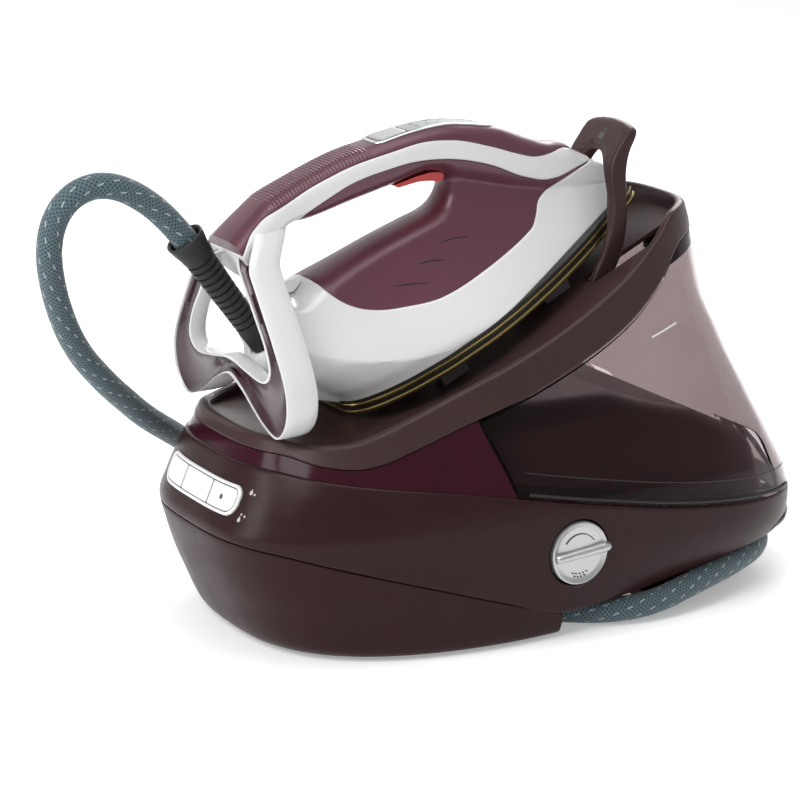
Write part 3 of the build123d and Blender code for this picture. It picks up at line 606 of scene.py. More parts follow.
def iron(p):
    p = np.asarray(p, float)
    return np.stack([-118.5 + CT * p[:, 0] - ST * p[:, 2], p[:, 1], 138.3 + ST * p[:, 0] + CT * p[:, 2]], 1)


HALF = Smooth([(0, 26), (4, 35), (12, 43), (25, 50), (45, 56), (75, 59.5), (95, 59.5), (120, 57), (150, 50.5), (180, 41), (205, 31), (228, 19.5), (244, 10.5), (254, 4.5), (258, 0.6)])
W_U0 = Smooth([(0, 0), (9, 1.5), (24, -8), (42, -20), (84, -26), (150, -28)])
W_U1 = Smooth([(0, 258), (9, 254), (24, 250), (35, 245), (45, 236), (55, 228.5), (65, 223), (81, 201), (100, 184), (113, 166), (122, 151), (131, 126), (137, 101), (150, 60)])
CREASE = Smooth([(-30, 43), (-10, 38), (25, 26), (50, 18), (111, 8), (180, -8), (258, -24)])
SLOPE = Smooth([(-60, 60), (-40, 60), (0, 57.5), (10, 52), (22, 43.5), (34, 35), (46, 27.5), (58, 21), (70, 17), (85, 14.5), (140, 13.5)])
TOP = Smooth([(-14, 136), (5, 141.5), (22, 145), (51, 144), (74, 142), (99, 137), (124, 131), (149, 122), (164, 113), (182, 100), (200, 81), (212, 70), (222, 63.5), (228, 54), (236, 44), (246, 34)])
BOT = Smooth([(-14, 108), (10, 112), (26, 121), (42, 116), (69, 111), (103, 104), (122, 101), (131, 95), (150, 79), (170, 62), (190, 47), (210, 36), (246, 18)])
HALFH = Smooth([(-14, 24), (0, 22.5), (20, 20), (60, 19.5), (150, 19), (182, 17), (200, 14.5), (215, 11), (224, 8.5), (236, 5), (246, 2)])
OPEN_PTS = [(6, 84), (24, 84), (50, 82.6), (76, 81), (100, 78.6), (118, 77), (128, 80.5), (133.5, 88), (131, 96), (122, 100.6), (103, 104), (85, 107.6), (69, 111), (42, 116.4), (28, 120.5), (16, 119.8), (11, 114), (8, 98)]
OPENING = catmull(OPEN_PTS, 8, closed=True)


def seg_dist(p, line_, closed=True):
    """distance of every point of p to a polyline"""
    a = np.asarray(line_, float)
    b = np.roll(a, -1, 0) if closed else a[1:]
    a = a if closed else a[:-1]
    best = np.full(len(p), 1e9)
    for i in range(0, len(p), 4000):
        q = p[i:i + 4000, None, :]
        d = b - a
        t = np.clip(((q - a) * d).sum(2) / np.maximum((d * d).sum(1), 1e-12), 0, 1)
        best[i:i + 4000] = np.sqrt((((a + d * t[..., None]) - q) ** 2).sum(2)).min(1)
    return best


def inside(p, poly):
    x, y = p[:, 0], p[:, 1]
    r = np.zeros(len(p), bool)
    n = len(poly)
    for i in range(n):
        x1, y1 = poly[i]
        x2, y2 = poly[(i + 1) % n]
        hit = ((y1 > y) != (y2 > y)) & (x < (x2 - x1) * (y - y1) / ((y2 - y1) if abs(y2 - y1) > 1e-12 else 1e-12) + x1)
        r ^= hit
    return r


def sstep(x, a, b):
    t = np.clip((x - a) / (b - a), 0, 1)
    return t * t * (3 - 2 * t)


def half_width(u, w):
    """half width of the iron at a point of its side view"""
    u, w = np.asarray(u, float), np.asarray(w, float)
    u0, u1 = W_U0(w), W_U1(w)
    q = np.clip((u - u0) / (u1 - u0) * 258, 0, 258)
    side = HALF(q) * (0.965 + 0.03 * sstep(w, 9, 22))
    hw = np.where(u < 85, 1.0, HALF(np.clip(u, 85, 258)) / 59.5)
    slope = SLOPE(w - CREASE(u)) * hw
    body = np.minimum(side, slope)
    s = (w - BOT(u)) / (TOP(u) - BOT(u))
    hand = HALFH(u) * np.clip(1 - np.abs(np.clip(2 * s - 1.04, -1, 1)) ** 2.7, 0, 1) ** (1 / 2.7)
    hand = np.where((s < 0) | (s > 1.02), 0, hand)
    fade = np.where(w > 84, sstep(u, 116, 142), 1.0)
    body = body * np.where(w > 84, np.maximum(fade, 1 - sstep(w, 84, 96)), 1.0)
    over = np.clip((TOP(u) - w) / 9.0, 0, 1)
    body = body * np.where(u > 100, np.sqrt(1 - (1 - over) ** 2), 1.0)
    k = 7.0
    h = np.clip(0.5 + 0.5 * (body - hand) / k, 0, 1)
    both = hand * (1 - h) + body * h + k * h * (1 - h) * sstep(np.minimum(body, hand), 0, 6)
    d = seg_dist(np.stack([u, w], 1), OPENING)
    t = np.clip(d / 9.0, 0, 1)
    rd = np.sqrt(np.clip(1 - (1 - t) ** 2, 0, 1))
    near = (w > 60) & (u < 150)
    return np.maximum(both * np.where(near, rd, 1.0), 0.4)


def strip_piece(name, us, lo, hi, vs, material, push=((0.0, 0.9), (0.5, 0.25), (1.0, 0.0)), extra=None, ends=True):
    """closed solid between two curves of the side view, both sides of the iron"""
    us = np.asarray(us, float)
    vs = np.asarray(vs, float)
    U = np.repeat(us[None, :], len(vs), 0)
    L, Hh = lo(us), hi(us)
    W = L[None, :] + (Hh - L)[None, :] * vs[:, None]
    F = half_width(U.ravel(), W.ravel()).reshape(U.shape)
    gap_lo, gap_hi = (W - L[None, :]), (Hh[None, :] - W)
    for gap, on in ((gap_lo, push[0]), (gap_hi, push[1])):
        F = F - on * np.clip(1 - gap / 0.9, 0, 1) ** 2
    F = np.maximum(F, 0.3)
    if extra is not None:
        U, F, W = extra(U, F, W, vs)
    near = np.stack([U, -F, W], 2)
    far = np.stack([U, F, W], 2)[::-1]
    ring_ = np.concatenate([near, far], 0)          # rows: up the near side, down the far side
    rows, cols = ring_.shape[:2]
    verts = iron(ring_.reshape(-1, 3))
    faces = grid_faces(rows, cols, close_rows=True, close_cols=False)
    m = len(vs)
    for c in (0, cols - 1):
        for r in range(m - 1):
            faces.append((r * cols + c, (r + 1) * cols + c, (rows - 2 - r) * cols + c, (rows - 1 - r) * cols + c))
    return make(name, verts, faces, material, "iron", sharp=32)


def edge_spaced(n, e=0.004):
    t = np.linspace(0, 1, n)
    t = 0.5 - 0.5 * np.cos(np.pi * t)
    return np.unique(np.concatenate([[0, e, 3 * e], t[2:-2], [1 - 3 * e, 1 - e, 1]]))


BOUND = Smooth([(-26, 50), (-15, 72), (-6, 82.5), (8, 84), (23.4, 84), (25.5, 76), (34, 62), (47, 52), (60, 46), (89, 37), (118, 34.5), (154, 33), (169, 33.6), (178, 38), (186, 44), (196, 45.6), (228, 43), (236, 41.5), (244, 33), (250, 23), (254.5, 10.5)])
STRIPE_LO = Smooth([(-14, 106), (0, 107), (7, 110), (11, 116), (16, 119.5), (28, 121.5), (37, 126.6), (64, 127), (106, 119), (120, 114), (142, 102), (164, 84), (182, 64), (198, 51.5), (210, 47.5), (221, 45.5), (236, 42.5)])
STRIPE_HI = Smooth([(-14, 128), (0, 136), (15, 139), (40, 139), (68, 137), (110, 128), (125, 124), (147, 113), (170, 94), (184, 80.5), (196, 70.5), (209, 65), (218, 62.5), (226, 56), (236, 44)])

us_body = np.unique(np.concatenate([np.linspace(-26, 30, 70), np.linspace(30, 230, 130), np.linspace(230, 254.3, 40)]))
vs_body = np.unique(np.concatenate([np.linspace(0, 0.05, 5), np.linspace(0.05, 0.95, 52), np.linspace(0.95, 1, 8)]))
low_ob = strip_piece("iron_skirt", us_body, lambda u: np.where(u < 0, 9.2 + (-u) * 0.85, 9.2) * 1.0, BOUND, vs_body, WHITE, push=(0.8, 0.7))
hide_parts("lower_body")

us_str = np.unique(np.concatenate([np.linspace(-14, 40, 50), np.linspace(40, 200, 110), np.linspace(200, 235.6, 40)]))
str_ob = strip_piece("handle_stripe", us_str, STRIPE_LO, STRIPE_HI, edge_spaced(26, 0.012), WHITE, push=(0.7, 0.7))
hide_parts("handle_shell")


def ribs(U, F, W, vs):
    amp = 0.30 * sstep(U, 14, 22) * (1 - sstep(U, 88, 96)) * sstep(np.repeat(vs[:, None], U.shape[1], 1), 0.30, 0.42)
    wave = np.sin(2 * np.pi * U / 2.4)
    return U, F + amp * wave * 0.6, W + amp * wave


us_cov = np.unique(np.concatenate([np.linspace(-14, 12, 24), np.arange(12, 98, 0.4), np.linspace(98, 200, 70), np.linspace(200, 226, 40)]))
cov_ob = strip_piece("handle_top_cover", us_cov, STRIPE_HI, lambda u: np.maximum(TOP(u) - 0.05, STRIPE_HI(u) + 0.4), edge_spaced(24, 0.01), PLUM, push=(0.7, 0.0), extra=ribs)
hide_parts("handle_cover")


def region_piece(name, poly, spacing, front, back, material, body, to_frame, offsets=(0.25, 0.8, 1.8, 3.2), sharp=32):
    """closed solid over a polygon of a plane; front and back give the third coordinate at each point"""
    poly = np.asarray(poly, float)
    lo, hi = poly.min(0), poly.max(0)
    gx, gy = np.meshgrid(np.arange(lo[0] + spacing / 2, hi[0], spacing), np.arange(lo[1] + spacing / 2, hi[1], spacing))
    gx = gx + (np.arange(gx.shape[0]) % 2)[:, None] * spacing * 0.5
    pts = np.stack([gx.ravel(), gy.ravel()], 1)
    pts = pts[inside(pts, poly)]
    d = seg_dist(pts, poly)
    pts = pts[d > offsets[-1] + 0.6 * spacing]
    t = np.roll(poly, -1, 0) - np.roll(poly, 1, 0)
    t /= np.maximum(np.linalg.norm(t, axis=1), 1e-9)[:, None]
    nn = np.stack([-t[:, 1], t[:, 0]], 1)
    if not inside(poly[:1] + nn[:1] * 0.05, poly)[0]:
        nn = -nn
    for off in offsets:
        q = poly + nn * off
        q = q[inside(q, poly)]
        q = q[seg_dist(q, poly) > off * 0.93]
        keep_ = []
        for z in q:
            if not keep_ or np.linalg.norm(z - keep_[-1]) > 0.45 * spacing:
                keep_.append(z)
        pts = np.vstack([pts, np.array(keep_)]) if keep_ else pts
    coords = [Vector(q) for q in poly] + [Vector(q) for q in pts]
    n = len(poly)
    res = geometry.delaunay_2d_cdt(coords, [(i, (i + 1) % n) for i in range(n)], [], 0, 1e-5, True)
    vo, fo = np.array([tuple(q) for q in res[0]], float), [list(f) for f in res[2]]
    mid_ = np.array([vo[f].mean(0) for f in fo])
    fo = [f for f, ok_ in zip(fo, inside(mid_, poly)) if ok_]
    used = sorted({i for f in fo for i in f})
    mp_ = {o_: k for k, o_ in enumerate(used)}
    vo = vo[used]
    fo = [[mp_[i] for i in f] for f in fo]
    A, B = front(vo), back(vo)
    m = len(vo)
    verts = np.vstack([to_frame(vo, A), to_frame(vo, B)])
    count = {}
    for f in fo:
        for i in range(3):
            e = (f[i], f[(i + 1) % 3])
            count[e] = 1
    edge = [e for e in count if (e[1], e[0]) not in count]
    faces = [tuple(f) for f in fo] + [tuple(i + m for i in f[::-1]) for f in fo] + [(b, a, a + m, b + m) for a, b in edge]
    return make(name, verts, faces, material, body, sharp=sharp)


def curve_part(fn, u0, u1, n):
    u = np.linspace(u0, u1, n)
    return np.stack([u, fn(u)], 1)


i0 = int(np.argmin(np.linalg.norm(OPENING - np.array((24, 84)), axis=1)))
i1 = int(np.argmin(np.linalg.norm(OPENING - np.array((28, 120.5)), axis=1)))
open_run = OPENING[i0:i1 + 1] if i1 > i0 else np.vstack([OPENING[i0:], OPENING[:i1 + 1]])
bur = np.vstack([open_run, curve_part(STRIPE_LO, 29.5, 235, 130), curve_part(BOUND, 233, 24.4, 130)])
_keep = [bur[0]]
for q_ in bur[1:]:
    if np.linalg.norm(q_ - _keep[-1]) > 0.7:
        _keep.append(q_)
bur = np.array(_keep)


def plum_half(v):
    f = half_width(v[:, 0], v[:, 1])
    d = seg_dist(v, bur)
    d_open = seg_dist(v, OPENING)
    return np.maximum(f - 0.9 * np.clip(1 - d / 1.0, 0, 1) ** 2 * np.clip(d_open / 1.5, 0, 1), 0.3)


sad_ob = region_piece("saddle_and_grip", bur, 1.7, lambda v: -plum_half(v), lambda v: plum_half(v), PLUM, "iron", lambda v, y: iron(np.stack([v[:, 0], y, v[:, 1]], 1)))
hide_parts("saddle", "handle_liner")


def surface_line(name, pts, r, material, lift=0.0, both=True, n=40):
    """thin line laid on the iron's side, from points of the side view"""
    c = resample(catmull(pts, 10), n)
    out_v, out_f = [], []
    for sy in ((-1, 1) if both else (-1,)):
        f = half_width(c[:, 0], c[:, 1]) + lift
        p = np.stack([c[:, 0], sy * f, c[:, 1]], 1)
        t = np.gradient(p, axis=0)
        t /= np.linalg.norm(t, axis=1)[:, None]
        side_ = np.tile(np.array((0.0, sy * 1.0, 0.35)), (n, 1))
        a = np.cross(t, side_)
        a /= np.linalg.norm(a, axis=1)[:, None]
        b = np.cross(t, a)
        tap = np.sin(np.linspace(0.08, 1, n) * np.pi * 0.97) ** 0.5
        base = len(out_v)
        k = 8
        for i in range(n):
            for j in range(k):
                th = 2 * np.pi * j / k
                out_v.append(p[i] + (a[i] * math.cos(th) * r + b[i] * math.sin(th) * r * 0.6) * tap[i])
        out_f += grid_faces(n, k, base=base)
        out_f += [tuple(base + j for j in range(k))[::-1], tuple(base + (n - 1) * k + j for j in range(k))]
    o = make(name, iron(np.array(out_v)), out_f, material, "iron", sharp=60)
    return o


for i_, pts_ in enumerate(([(108, 61.5), (117.8, 58.5), (127, 54.2)], [(86.7, 59.2), (95.8, 56.4), (104, 52)], [(64.2, 57.5), (75.4, 52.6), (86, 47.4)])):
    g_ = surface_line(f"grip_groove_{i_}", pts_, 0.55, LINE, -0.1)

# ---- heel hoop -------------------------------------------------------------
E2 = np.array((0.411, 0.0, 0.912))
E3 = np.array((-0.912, 0.0, 0.411))
HO = np.array((-58.6, 0.0, 34.0))
H_OUT = [(0, 24.5), (18, 18.5), (33, 9.5), (48, 1.5), (64, -2), (76, 7), (80.5, 21), (77, 37), (63, 60), (43, 88), (26, 110), (13, 121)]
H_IN = [(0, 37), (20, 33), (40, 30), (51, 33), (54.5, 41), (49, 54), (38, 68), (26, 83), (12, 99)]
outer = catmull([(y_, s_) for y_, s_ in H_OUT] + [(-y_, s_) for y_, s_ in H_OUT[::-1] if y_ > 0.1], 12, closed=True)
inner = catmull([(y_, s_) for y_, s_ in H_IN] + [(-y_, s_) for y_, s_ in H_IN[::-1] if y_ > 0.1], 12, closed=True)


def ray_loop(loop_, cen, ang):
    out = []
    a, b = loop_, np.roll(loop_, -1, 0)
    for t in ang:
        d = np.array((math.cos(t), math.sin(t)))
        e = b - a
        den = d[0] * e[:, 1] - d[1] * e[:, 0]
        den = np.where(np.abs(den) < 1e-12, 1e-12, den)
        q = a - cen
        s = (q[:, 0] * e[:, 1] - q[:, 1] * e[:, 0]) / den
        k = (q[:, 0] * d[1] - q[:, 1] * d[0]) / den
        ok = (s > 0) & (k >= -1e-9) & (k <= 1 + 1e-9)
        out.append(cen + d * s[ok].min())
    return np.array(out)


HC = np.array((0.0, 52.0))
# sections spaced evenly along the outer outline
ou = resample(outer, 300, closed=True) - HC
angs = np.sort(np.arctan2(ou[:, 1], ou[:, 0]))
O2, I2 = ray_loop(outer, HC, angs), ray_loop(inner, HC, angs)
DIR = (I2 - O2) / np.linalg.norm(I2 - O2, axis=1)[:, None]


def ring_piece(name, section, material, body="iron", sharp=40):
    """closed band round the hoop; section is a list of (side, mm in from that side, depth)"""
    rows_ = []
    for side_, d_, n_ in section:
        if side_ == "o":
            q = O2 + DIR * d_
        elif side_ == "i":
            q = I2 - DIR * d_
        else:
            q = O2 + (I2 - O2) * side_ + DIR * d_
        bend = 15.0 * sstep(q[:, 1:], 94, 123)
        p = HO[None, :] + np.array((0, 1, 0))[None, :] * q[:, :1] + E2[None, :] * q[:, 1:] + E3[None, :] * (n_ - bend)
        rows_.append(p)
    v = np.concatenate(rows_)
    return make(name, iron(v), grid_faces(len(section), len(angs), close_rows=True, close_cols=True), material, body, sharp=sharp)


hoop_ob = ring_piece("heel_hoop_shell", [("o", 0.5, 0.4), ("o", 0.0, -0.2), ("o", -0.2, -6), ("o", 0.0, -14), ("o", 0.8, -19.5), ("o", 2.2, -21.6), ("o", 4.0, -22), (0.5, 0, -17.5), ("i", 3, -12.6), ("i", 1.2, -11.6),
                                         ("i", 0.2, -10), ("i", 0, -7), ("i", 0, -2), ("i", 0.6, -0.6), ("i", 1.6, -0.2), ("i", 2.6, -0.6), ("i", 3.0, -2.4), (0.5, 0, -6.8), ("o", 2.2, -2.8), ("o", 1.7, -1.0), ("o", 1.4, 0.1), ("o", 1.0, 0.45)], WHITE)
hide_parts("heel_hoop")
ins_ob = ring_piece("heel_hoop_face", [("o", 2.4, -3.4), ("o", 1.9, -1.4), ("o", 2.4, -0.6), ("o", 4, -1.3), (0.3, 0, -3.6), (0.5, 0, -4.6), (0.7, 0, -3.8), ("i", 4.2, -1.6), ("i", 3.2, -1.0), ("i", 3.3, -3.2), (0.5, 0, -6.2)], PLUM_DEEP)
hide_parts("heel_insert")

# ---- sole: metal plate, black gasket and a gold lip --------------------------


def sole_ring(hw_add, w, u0=0.0, u1=258.0):
    q = np.concatenate([np.linspace(0, 12, 14), np.linspace(12, 240, 80)[1:], np.linspace(240, 258, 22)[1:]])
    h = HALF(q)
    g = np.gradient(h, q)
    nn = np.sqrt(1 + g * g)
    u = u0 + q * (u1 - u0) / 258 - hw_add * g / nn * np.where(q > 200, 1.0, np.where(q < 12, 1.0, 1.0))
    y = np.maximum(h + hw_add / nn, 0.05)
    top = np.stack([u, -y, np.full_like(u, w)], 1)
    return np.vstack([top, top[::-1] * np.array((1, -1, 1))])


def sole_solid(name, levels, material, sharp=35):
    rows_ = [sole_ring(a, w) for a, w in levels]
    n_ = len(rows_[0])
    v = np.concatenate(rows_)
    f = grid_faces(len(rows_), n_)
    f.append(tuple(range(n_))[::-1])
    f.append(tuple((len(rows_) - 1) * n_ + k for k in range(n_)))
    return make(name, iron(v), f, material, "iron", sharp=sharp)


so_ob = sole_solid("soleplate_metal", [(-3.0, 0.0), (-1.0, 0.05), (-0.3, 0.45), (0.0, 1.2), (0.0, 2.4), (-0.4, 3.0), (-1.6, 3.3)], GOLD)
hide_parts("soleplate")
tr_ob = sole_solid("sole_gasket", [(-1.9, 3.3), (-1.6, 3.6), (-1.6, 5.2), (-2.4, 5.4), (-2.4, 9.6), (-4, 9.8)], BLACK)
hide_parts("sole_trim")
lip_ob = sole_solid("sole_gold_lip", [(-3.0, 5.7), (-1.2, 5.8), (-0.9, 6.2), (-0.9, 7.0), (-1.2, 7.4), (-3.0, 7.5)], GOLD)

# ---- display and mode button let into the top of the handle ---------------------------


def on_top(v, h):
    """points (u, y) of the handle's top face lifted h off it"""
    def wt(u, y):
        q = np.clip(np.abs(y) / HALFH(u), 0, 1)
        s_ = np.minimum((1.04 + (1 - q ** 2.7) ** (1 / 2.7)) / 2, 1.0)
        return BOT(u) + s_ * (TOP(u) - BOT(u))
    u, y = v[:, 0], v[:, 1]
    e = 0.6
    n_ = np.stack([-(wt(u + e, y) - wt(u - e, y)) / (2 * e), -(wt(u, y + e) - wt(u, y - e)) / (2 * e), np.ones_like(u)], 1)
    n_ /= np.linalg.norm(n_, axis=1)[:, None]
    return iron(np.stack([u, y, wt(u, y)], 1) + n_ * np.asarray(h)[:, None])


DO = resample(rounded([(100.5, -11.6), (181.5, -9.6), (181.5, 9.6), (100.5, 11.6)], [5, 8, 8, 5], 8), 180, closed=True)
DI = resample(rounded([(103.2, -9.4), (178.8, -7.6), (178.8, 7.6), (103.2, 9.4)], [3.4, 6, 6, 3.4], 8), 180, closed=True)
dz_v = []
for a_, h_ in ((0.0, -1.4), (0.0, 0.45), (0.12, 0.8), (0.35, 1.0), (0.75, 0.95), (0.95, 0.75), (1.0, 0.3), (1.0, -1.4)):
    dz_v.append(on_top(DO * (1 - a_) + DI * a_, np.full(180, h_)))
dz_ob = make("display_rim", np.concatenate(dz_v), grid_faces(8, 180, close_rows=True), CHROME, "iron")
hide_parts("display_bezel")


def top_patch(name, poly, top, bottom, material, round_=0.4, spacing=2.0, body="iron"):
    poly = np.asarray(poly, float)
    return region_piece(name, poly, spacing, lambda v: top - round_ * np.clip(1 - seg_dist(v, poly) / (round_ * 1.6), 0, 1) ** 2, lambda v: np.full(len(v), float(bottom)), material, body, on_top, offsets=(0.15, 0.45, 1.0), sharp=40)


ds_ob = top_patch("display_window", resample(rounded([(125.0, -8.7), (178.4, -7.3), (178.4, 7.3), (125.0, 8.7)], [2, 5.8, 5.8, 2], 8), 120, closed=True), 0.62, -1.2, LCD, 0.2)
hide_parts("display_lens")
mb_ob = top_patch("mode_key", resample(rounded([(104.0, -9.0), (123.6, -8.5), (123.6, 8.5), (104.0, 9.0)], [3.0, 1.6, 1.6, 3.0], 8), 90, closed=True), 1.4, -1.2, SILVER, 0.4, body="mode")
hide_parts("mode_button")
for i_, (a_, b_) in enumerate(((-5.6, 2.4), (-2.0, 1.6), (1.6, 3.0), (5.0, 2.0))):
    sg = top_patch(f"display_segment_{i_}", [(133.0, a_), (133.0 + 6 * b_, a_), (133.0 + 6 * b_, a_ + 1.5), (133.0, a_ + 1.5)], 0.70, 0.2, ICON_DARK, 0.02, spacing=1.4)

tg_poly = resample(catmull([(103, 104.6), (110, 103.2), (120, 101.0), (130, 97.5), (135, 93.2), (134.0, 90.4), (130.5, 90.2), (126, 93.4), (118, 97.6), (109, 100.4), (103.5, 102.2)], 8, closed=True), 110, closed=True)
tg_ob = region_piece("trigger_blade", tg_poly, 1.6, lambda v: np.full(len(v), -7.4), lambda v: np.full(len(v), 7.4), RED, "trigger", lambda v, h: iron(np.stack([v[:, 0], h, v[:, 1]], 1)), offsets=(0.3, 0.8), sharp=34)
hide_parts("steam_trigger")
#IRON_PIECES_END

#BASE_PIECES_START
# ---------------------------------------------------------------------------
# casing of the base: rounded plan outline by height (z, front x, rear x, half width, exponent)
# ---------------------------------------------------------------------------
LEV = [(1, -184, 164, 113, 2.7), (5, -189.5, 169, 117, 2.8), (14, -195, 188, 119.8, 2.85), (28, -201, 204, 121.5, 2.9), (46, -208, 208.5, 122.6, 3.0), (62, -213, 208, 123, 3.0), (79, -217, 202, 123, 3.0),
       (92, -212, 194, 121.5, 3.0), (106, -206, 187, 117.5, 3.0), (120, -200, 180, 110, 3.0), (135, -193, 173.5, 101, 3.0), (150, -186, 166, 94, 3.0), (170, -174, 157, 87.5, 3.0), (190, -160, 147.5, 82, 3.0),
       (215, -140, 142, 75.5, 3.0), (240, -118, 138, 69.5, 3.0), (262, -100, 132, 64, 3.0)]
L_XF, L_XR, L_B, L_N = (Smooth([(r_[0], r_[k]) for r_ in LEV]) for k in (1, 2, 3, 4))
SEAM_C = Smooth([(-240, 79), (-217, 76), (-195, 73), (-168, 66), (-111, 49), (-60, 32), (-8, 15), (10, 11), (40, 9), (120, 9), (180, 11), (240, 14)])
SLOT_C = Smooth([(-240, 79), (-217, 76), (-195, 73), (-168, 66), (-111, 49), (-60, 32), (-8, 16), (20, 17.5), (47, 20), (93, 26), (140, 31), (180, 33), (240, 34)])
BAND_C = Smooth([(-240, 123), (-192, 121.5), (-164, 117), (-90, 106), (-1, 88), (93, 71), (140, 65), (180, 61), (240, 57)])
RLOW_C = Smooth([(-240, 131), (-183, 130), (-165, 125), (-146, 123), (-130, 125), (-112, 130), (-74, 141), (-30, 152), (3, 163), (35, 176), (62, 190), (88, 209), (112, 231), (135, 236), (200, 236)])
RTOP_C = Smooth([(-240, 139), (-183, 139), (-165, 136), (-146, 137), (-130, 141), (-112, 147), (-74, 160), (-30, 174), (3, 187), (35, 202), (62, 217), (88, 236), (108, 251), (130, 254), (200, 252)])
DECK_C = Smooth([(-200, 136), (-183, 135), (-165, 130), (-146, 128.5), (-130, 130.5), (-112, 134.5), (-90, 140.5), (-60, 151.3), (0, 180.6), (60, 209.8), (136, 246.9)])
NT = 320
TH = np.linspace(0, 2 * np.pi, NT, endpoint=False)


def hull_ring(target, inset=0.0, scale=1.0):
    """ring on the casing outline whose height follows target(x)"""
    z = np.full(NT, 100.0)
    for _ in range(80):
        n_ = L_N(z)
        q = (np.abs(np.cos(TH)) ** n_ + np.abs(np.sin(TH)) ** n_) ** (-1 / n_)
        a, c, b = (L_XR(z) - L_XF(z)) / 2 - inset, (L_XR(z) + L_XF(z)) / 2, L_B(z) - inset
        x = c + scale * a * q * np.cos(TH)
        y = scale * b * q * np.sin(TH) * (1 - 0.12 * (1 - sstep(z, 4, 58)) * sstep(x, -60, 120))
        z = 0.45 * z + 0.55 * target(x)
    return np.stack([x, y, z], 1)


def const(v):
    return lambda x: np.full_like(x, float(v))


def between(lo, hi, v, dz=0.0):
    return lambda x: lo(x) * (1 - v) + hi(x) * v + dz


def shell_piece(name, rings, material, body="root", cap0=None, cap1=None, loop=False, sharp=35):
    v = np.concatenate(rings)
    f = grid_faces(len(rings), NT, close_rows=loop)
    extra_v = []
    for cap, row in ((cap0, 0), (cap1, len(rings) - 1)):
        if cap is not None:
            idx = len(v) + len(extra_v)
            extra_v.append(cap)
            f += [(idx, row * NT + k, row * NT + (k + 1) % NT) for k in range(NT)]
    if extra_v:
        v = np.vstack([v, np.array(extra_v)])
    return make(name, v, f, material, body, sharp=sharp)


def prism_cut(pts, ylim=170):
    n_ = len(pts)
    v = [(x, -ylim, z) for x, z in pts] + [(x, ylim, z) for x, z in pts]
    f = [tuple(range(n_))[::-1], tuple(range(n_, 2 * n_))] + [(i, (i + 1) % n_, n_ + (i + 1) % n_, n_ + i) for i in range(n_)]
    return v, f


def cyl_cut(p, r, h0, h1, axis, n_=72):
    v = lathe([(r, h0), (r, h1)], p, axis, n_)
    f = grid_faces(2, n_) + [tuple(range(n_))[::-1], tuple(range(n_, 2 * n_))]
    return v, f


KC = (-5.0, -124.0, 57.0)
# lower shell
low_rings = [hull_ring(const(7.0), 3.0, 0.25), hull_ring(const(7.0), 3.0, 0.9), hull_ring(const(7.0), 3.2)]
low_rings += [hull_ring(between(const(7.0), SEAM_C, k), 3.0) for k in (0.3, 0.7, 1.0)]
low_rings += [hull_ring(between(const(1), SEAM_C, 1, 0.0), 0.9), hull_ring(between(const(1), SEAM_C, 1, -0.25), 0.25), hull_ring(between(const(1), SEAM_C, 1, -0.9), 0.0)]
low_rings += [hull_ring(between(const(3.4), SEAM_C, k, -1.0 * k), 0.0) for k in np.linspace(0.97, 0, 26)]
low_rings += [hull_ring(const(2.0), 0.45), hull_ring(const(1.3), 1.3), hull_ring(const(1.0), 2.8), hull_ring(const(1.0), 4, 0.9), hull_ring(const(1.0), 4, 0.3)]
low_sh = shell_piece("base_lower_shell", low_rings, BROWN_LOW, None, cap0=(0, 0, 7.0), cap1=(0, 0, 1.0))
boolean(low_sh, [cutter("bay_a", *box_mesh(-86, -4, -93.5, -56, -1, 18.6)), cutter("bay_b", *box_mesh(-13, 70, -150, -56, -1, 17.2))], sharp=35)
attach(low_sh, "root")
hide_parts("lower_shell")

# upper casing band
up_rings = [hull_ring(between(SLOT_C, BAND_C, 0, 0.35), 3.0), hull_ring(between(SLOT_C, BAND_C, 0, 0.35), 1.1), hull_ring(between(SLOT_C, BAND_C, 0, 0.65), 0.35), hull_ring(between(SLOT_C, BAND_C, 0, 1.35), 0.0)]
up_rings += [hull_ring(between(SLOT_C, BAND_C, k, 1.35 * (1 - k) - 1.3 * k), 0.0) for k in np.linspace(0.03, 1, 30)]
up_rings += [hull_ring(between(SLOT_C, BAND_C, 1, -0.5), 0.35), hull_ring(between(SLOT_C, BAND_C, 1, -0.1), 1.0), hull_ring(between(SLOT_C, BAND_C, 1, 0), 1.6), hull_ring(between(SLOT_C, BAND_C, 1, 0), 3.2)]
up_rings += [hull_ring(between(SLOT_C, BAND_C, k), 3.2) for k in (0.8, 0.5, 0.2)]
up_sh = shell_piece("base_upper_casing", up_rings, BROWN, None, loop=True)
boolean(up_sh, [cutter("knob_hole", *cyl_cut(KC, 22.0, -20, 40, (0, 1, 0))), cutter("gland_hole", *cyl_cut((42, 100, 50), 8.6, 0, 40, (0, 1, 0)))], sharp=35)
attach(up_sh, "root")
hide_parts("upper_casing")

# well round the collector cap
well = [(22.6, 0.6), (22.9, 1.6), (22.0, 2.2), (21.6, 3.0), (21.5, 12.0), (15.8, 12.0), (15.8, 13.2), (22.9, 13.2), (23.6, 4.0), (23.6, 1.2)]
wv = lathe([(r, h) for r, h in well], (KC[0], -121.6, KC[2]), (0, 1, 0), 96)
well_ob = make("collector_well", wv, grid_faces(len(well), 96, close_rows=True), DARK, "root")

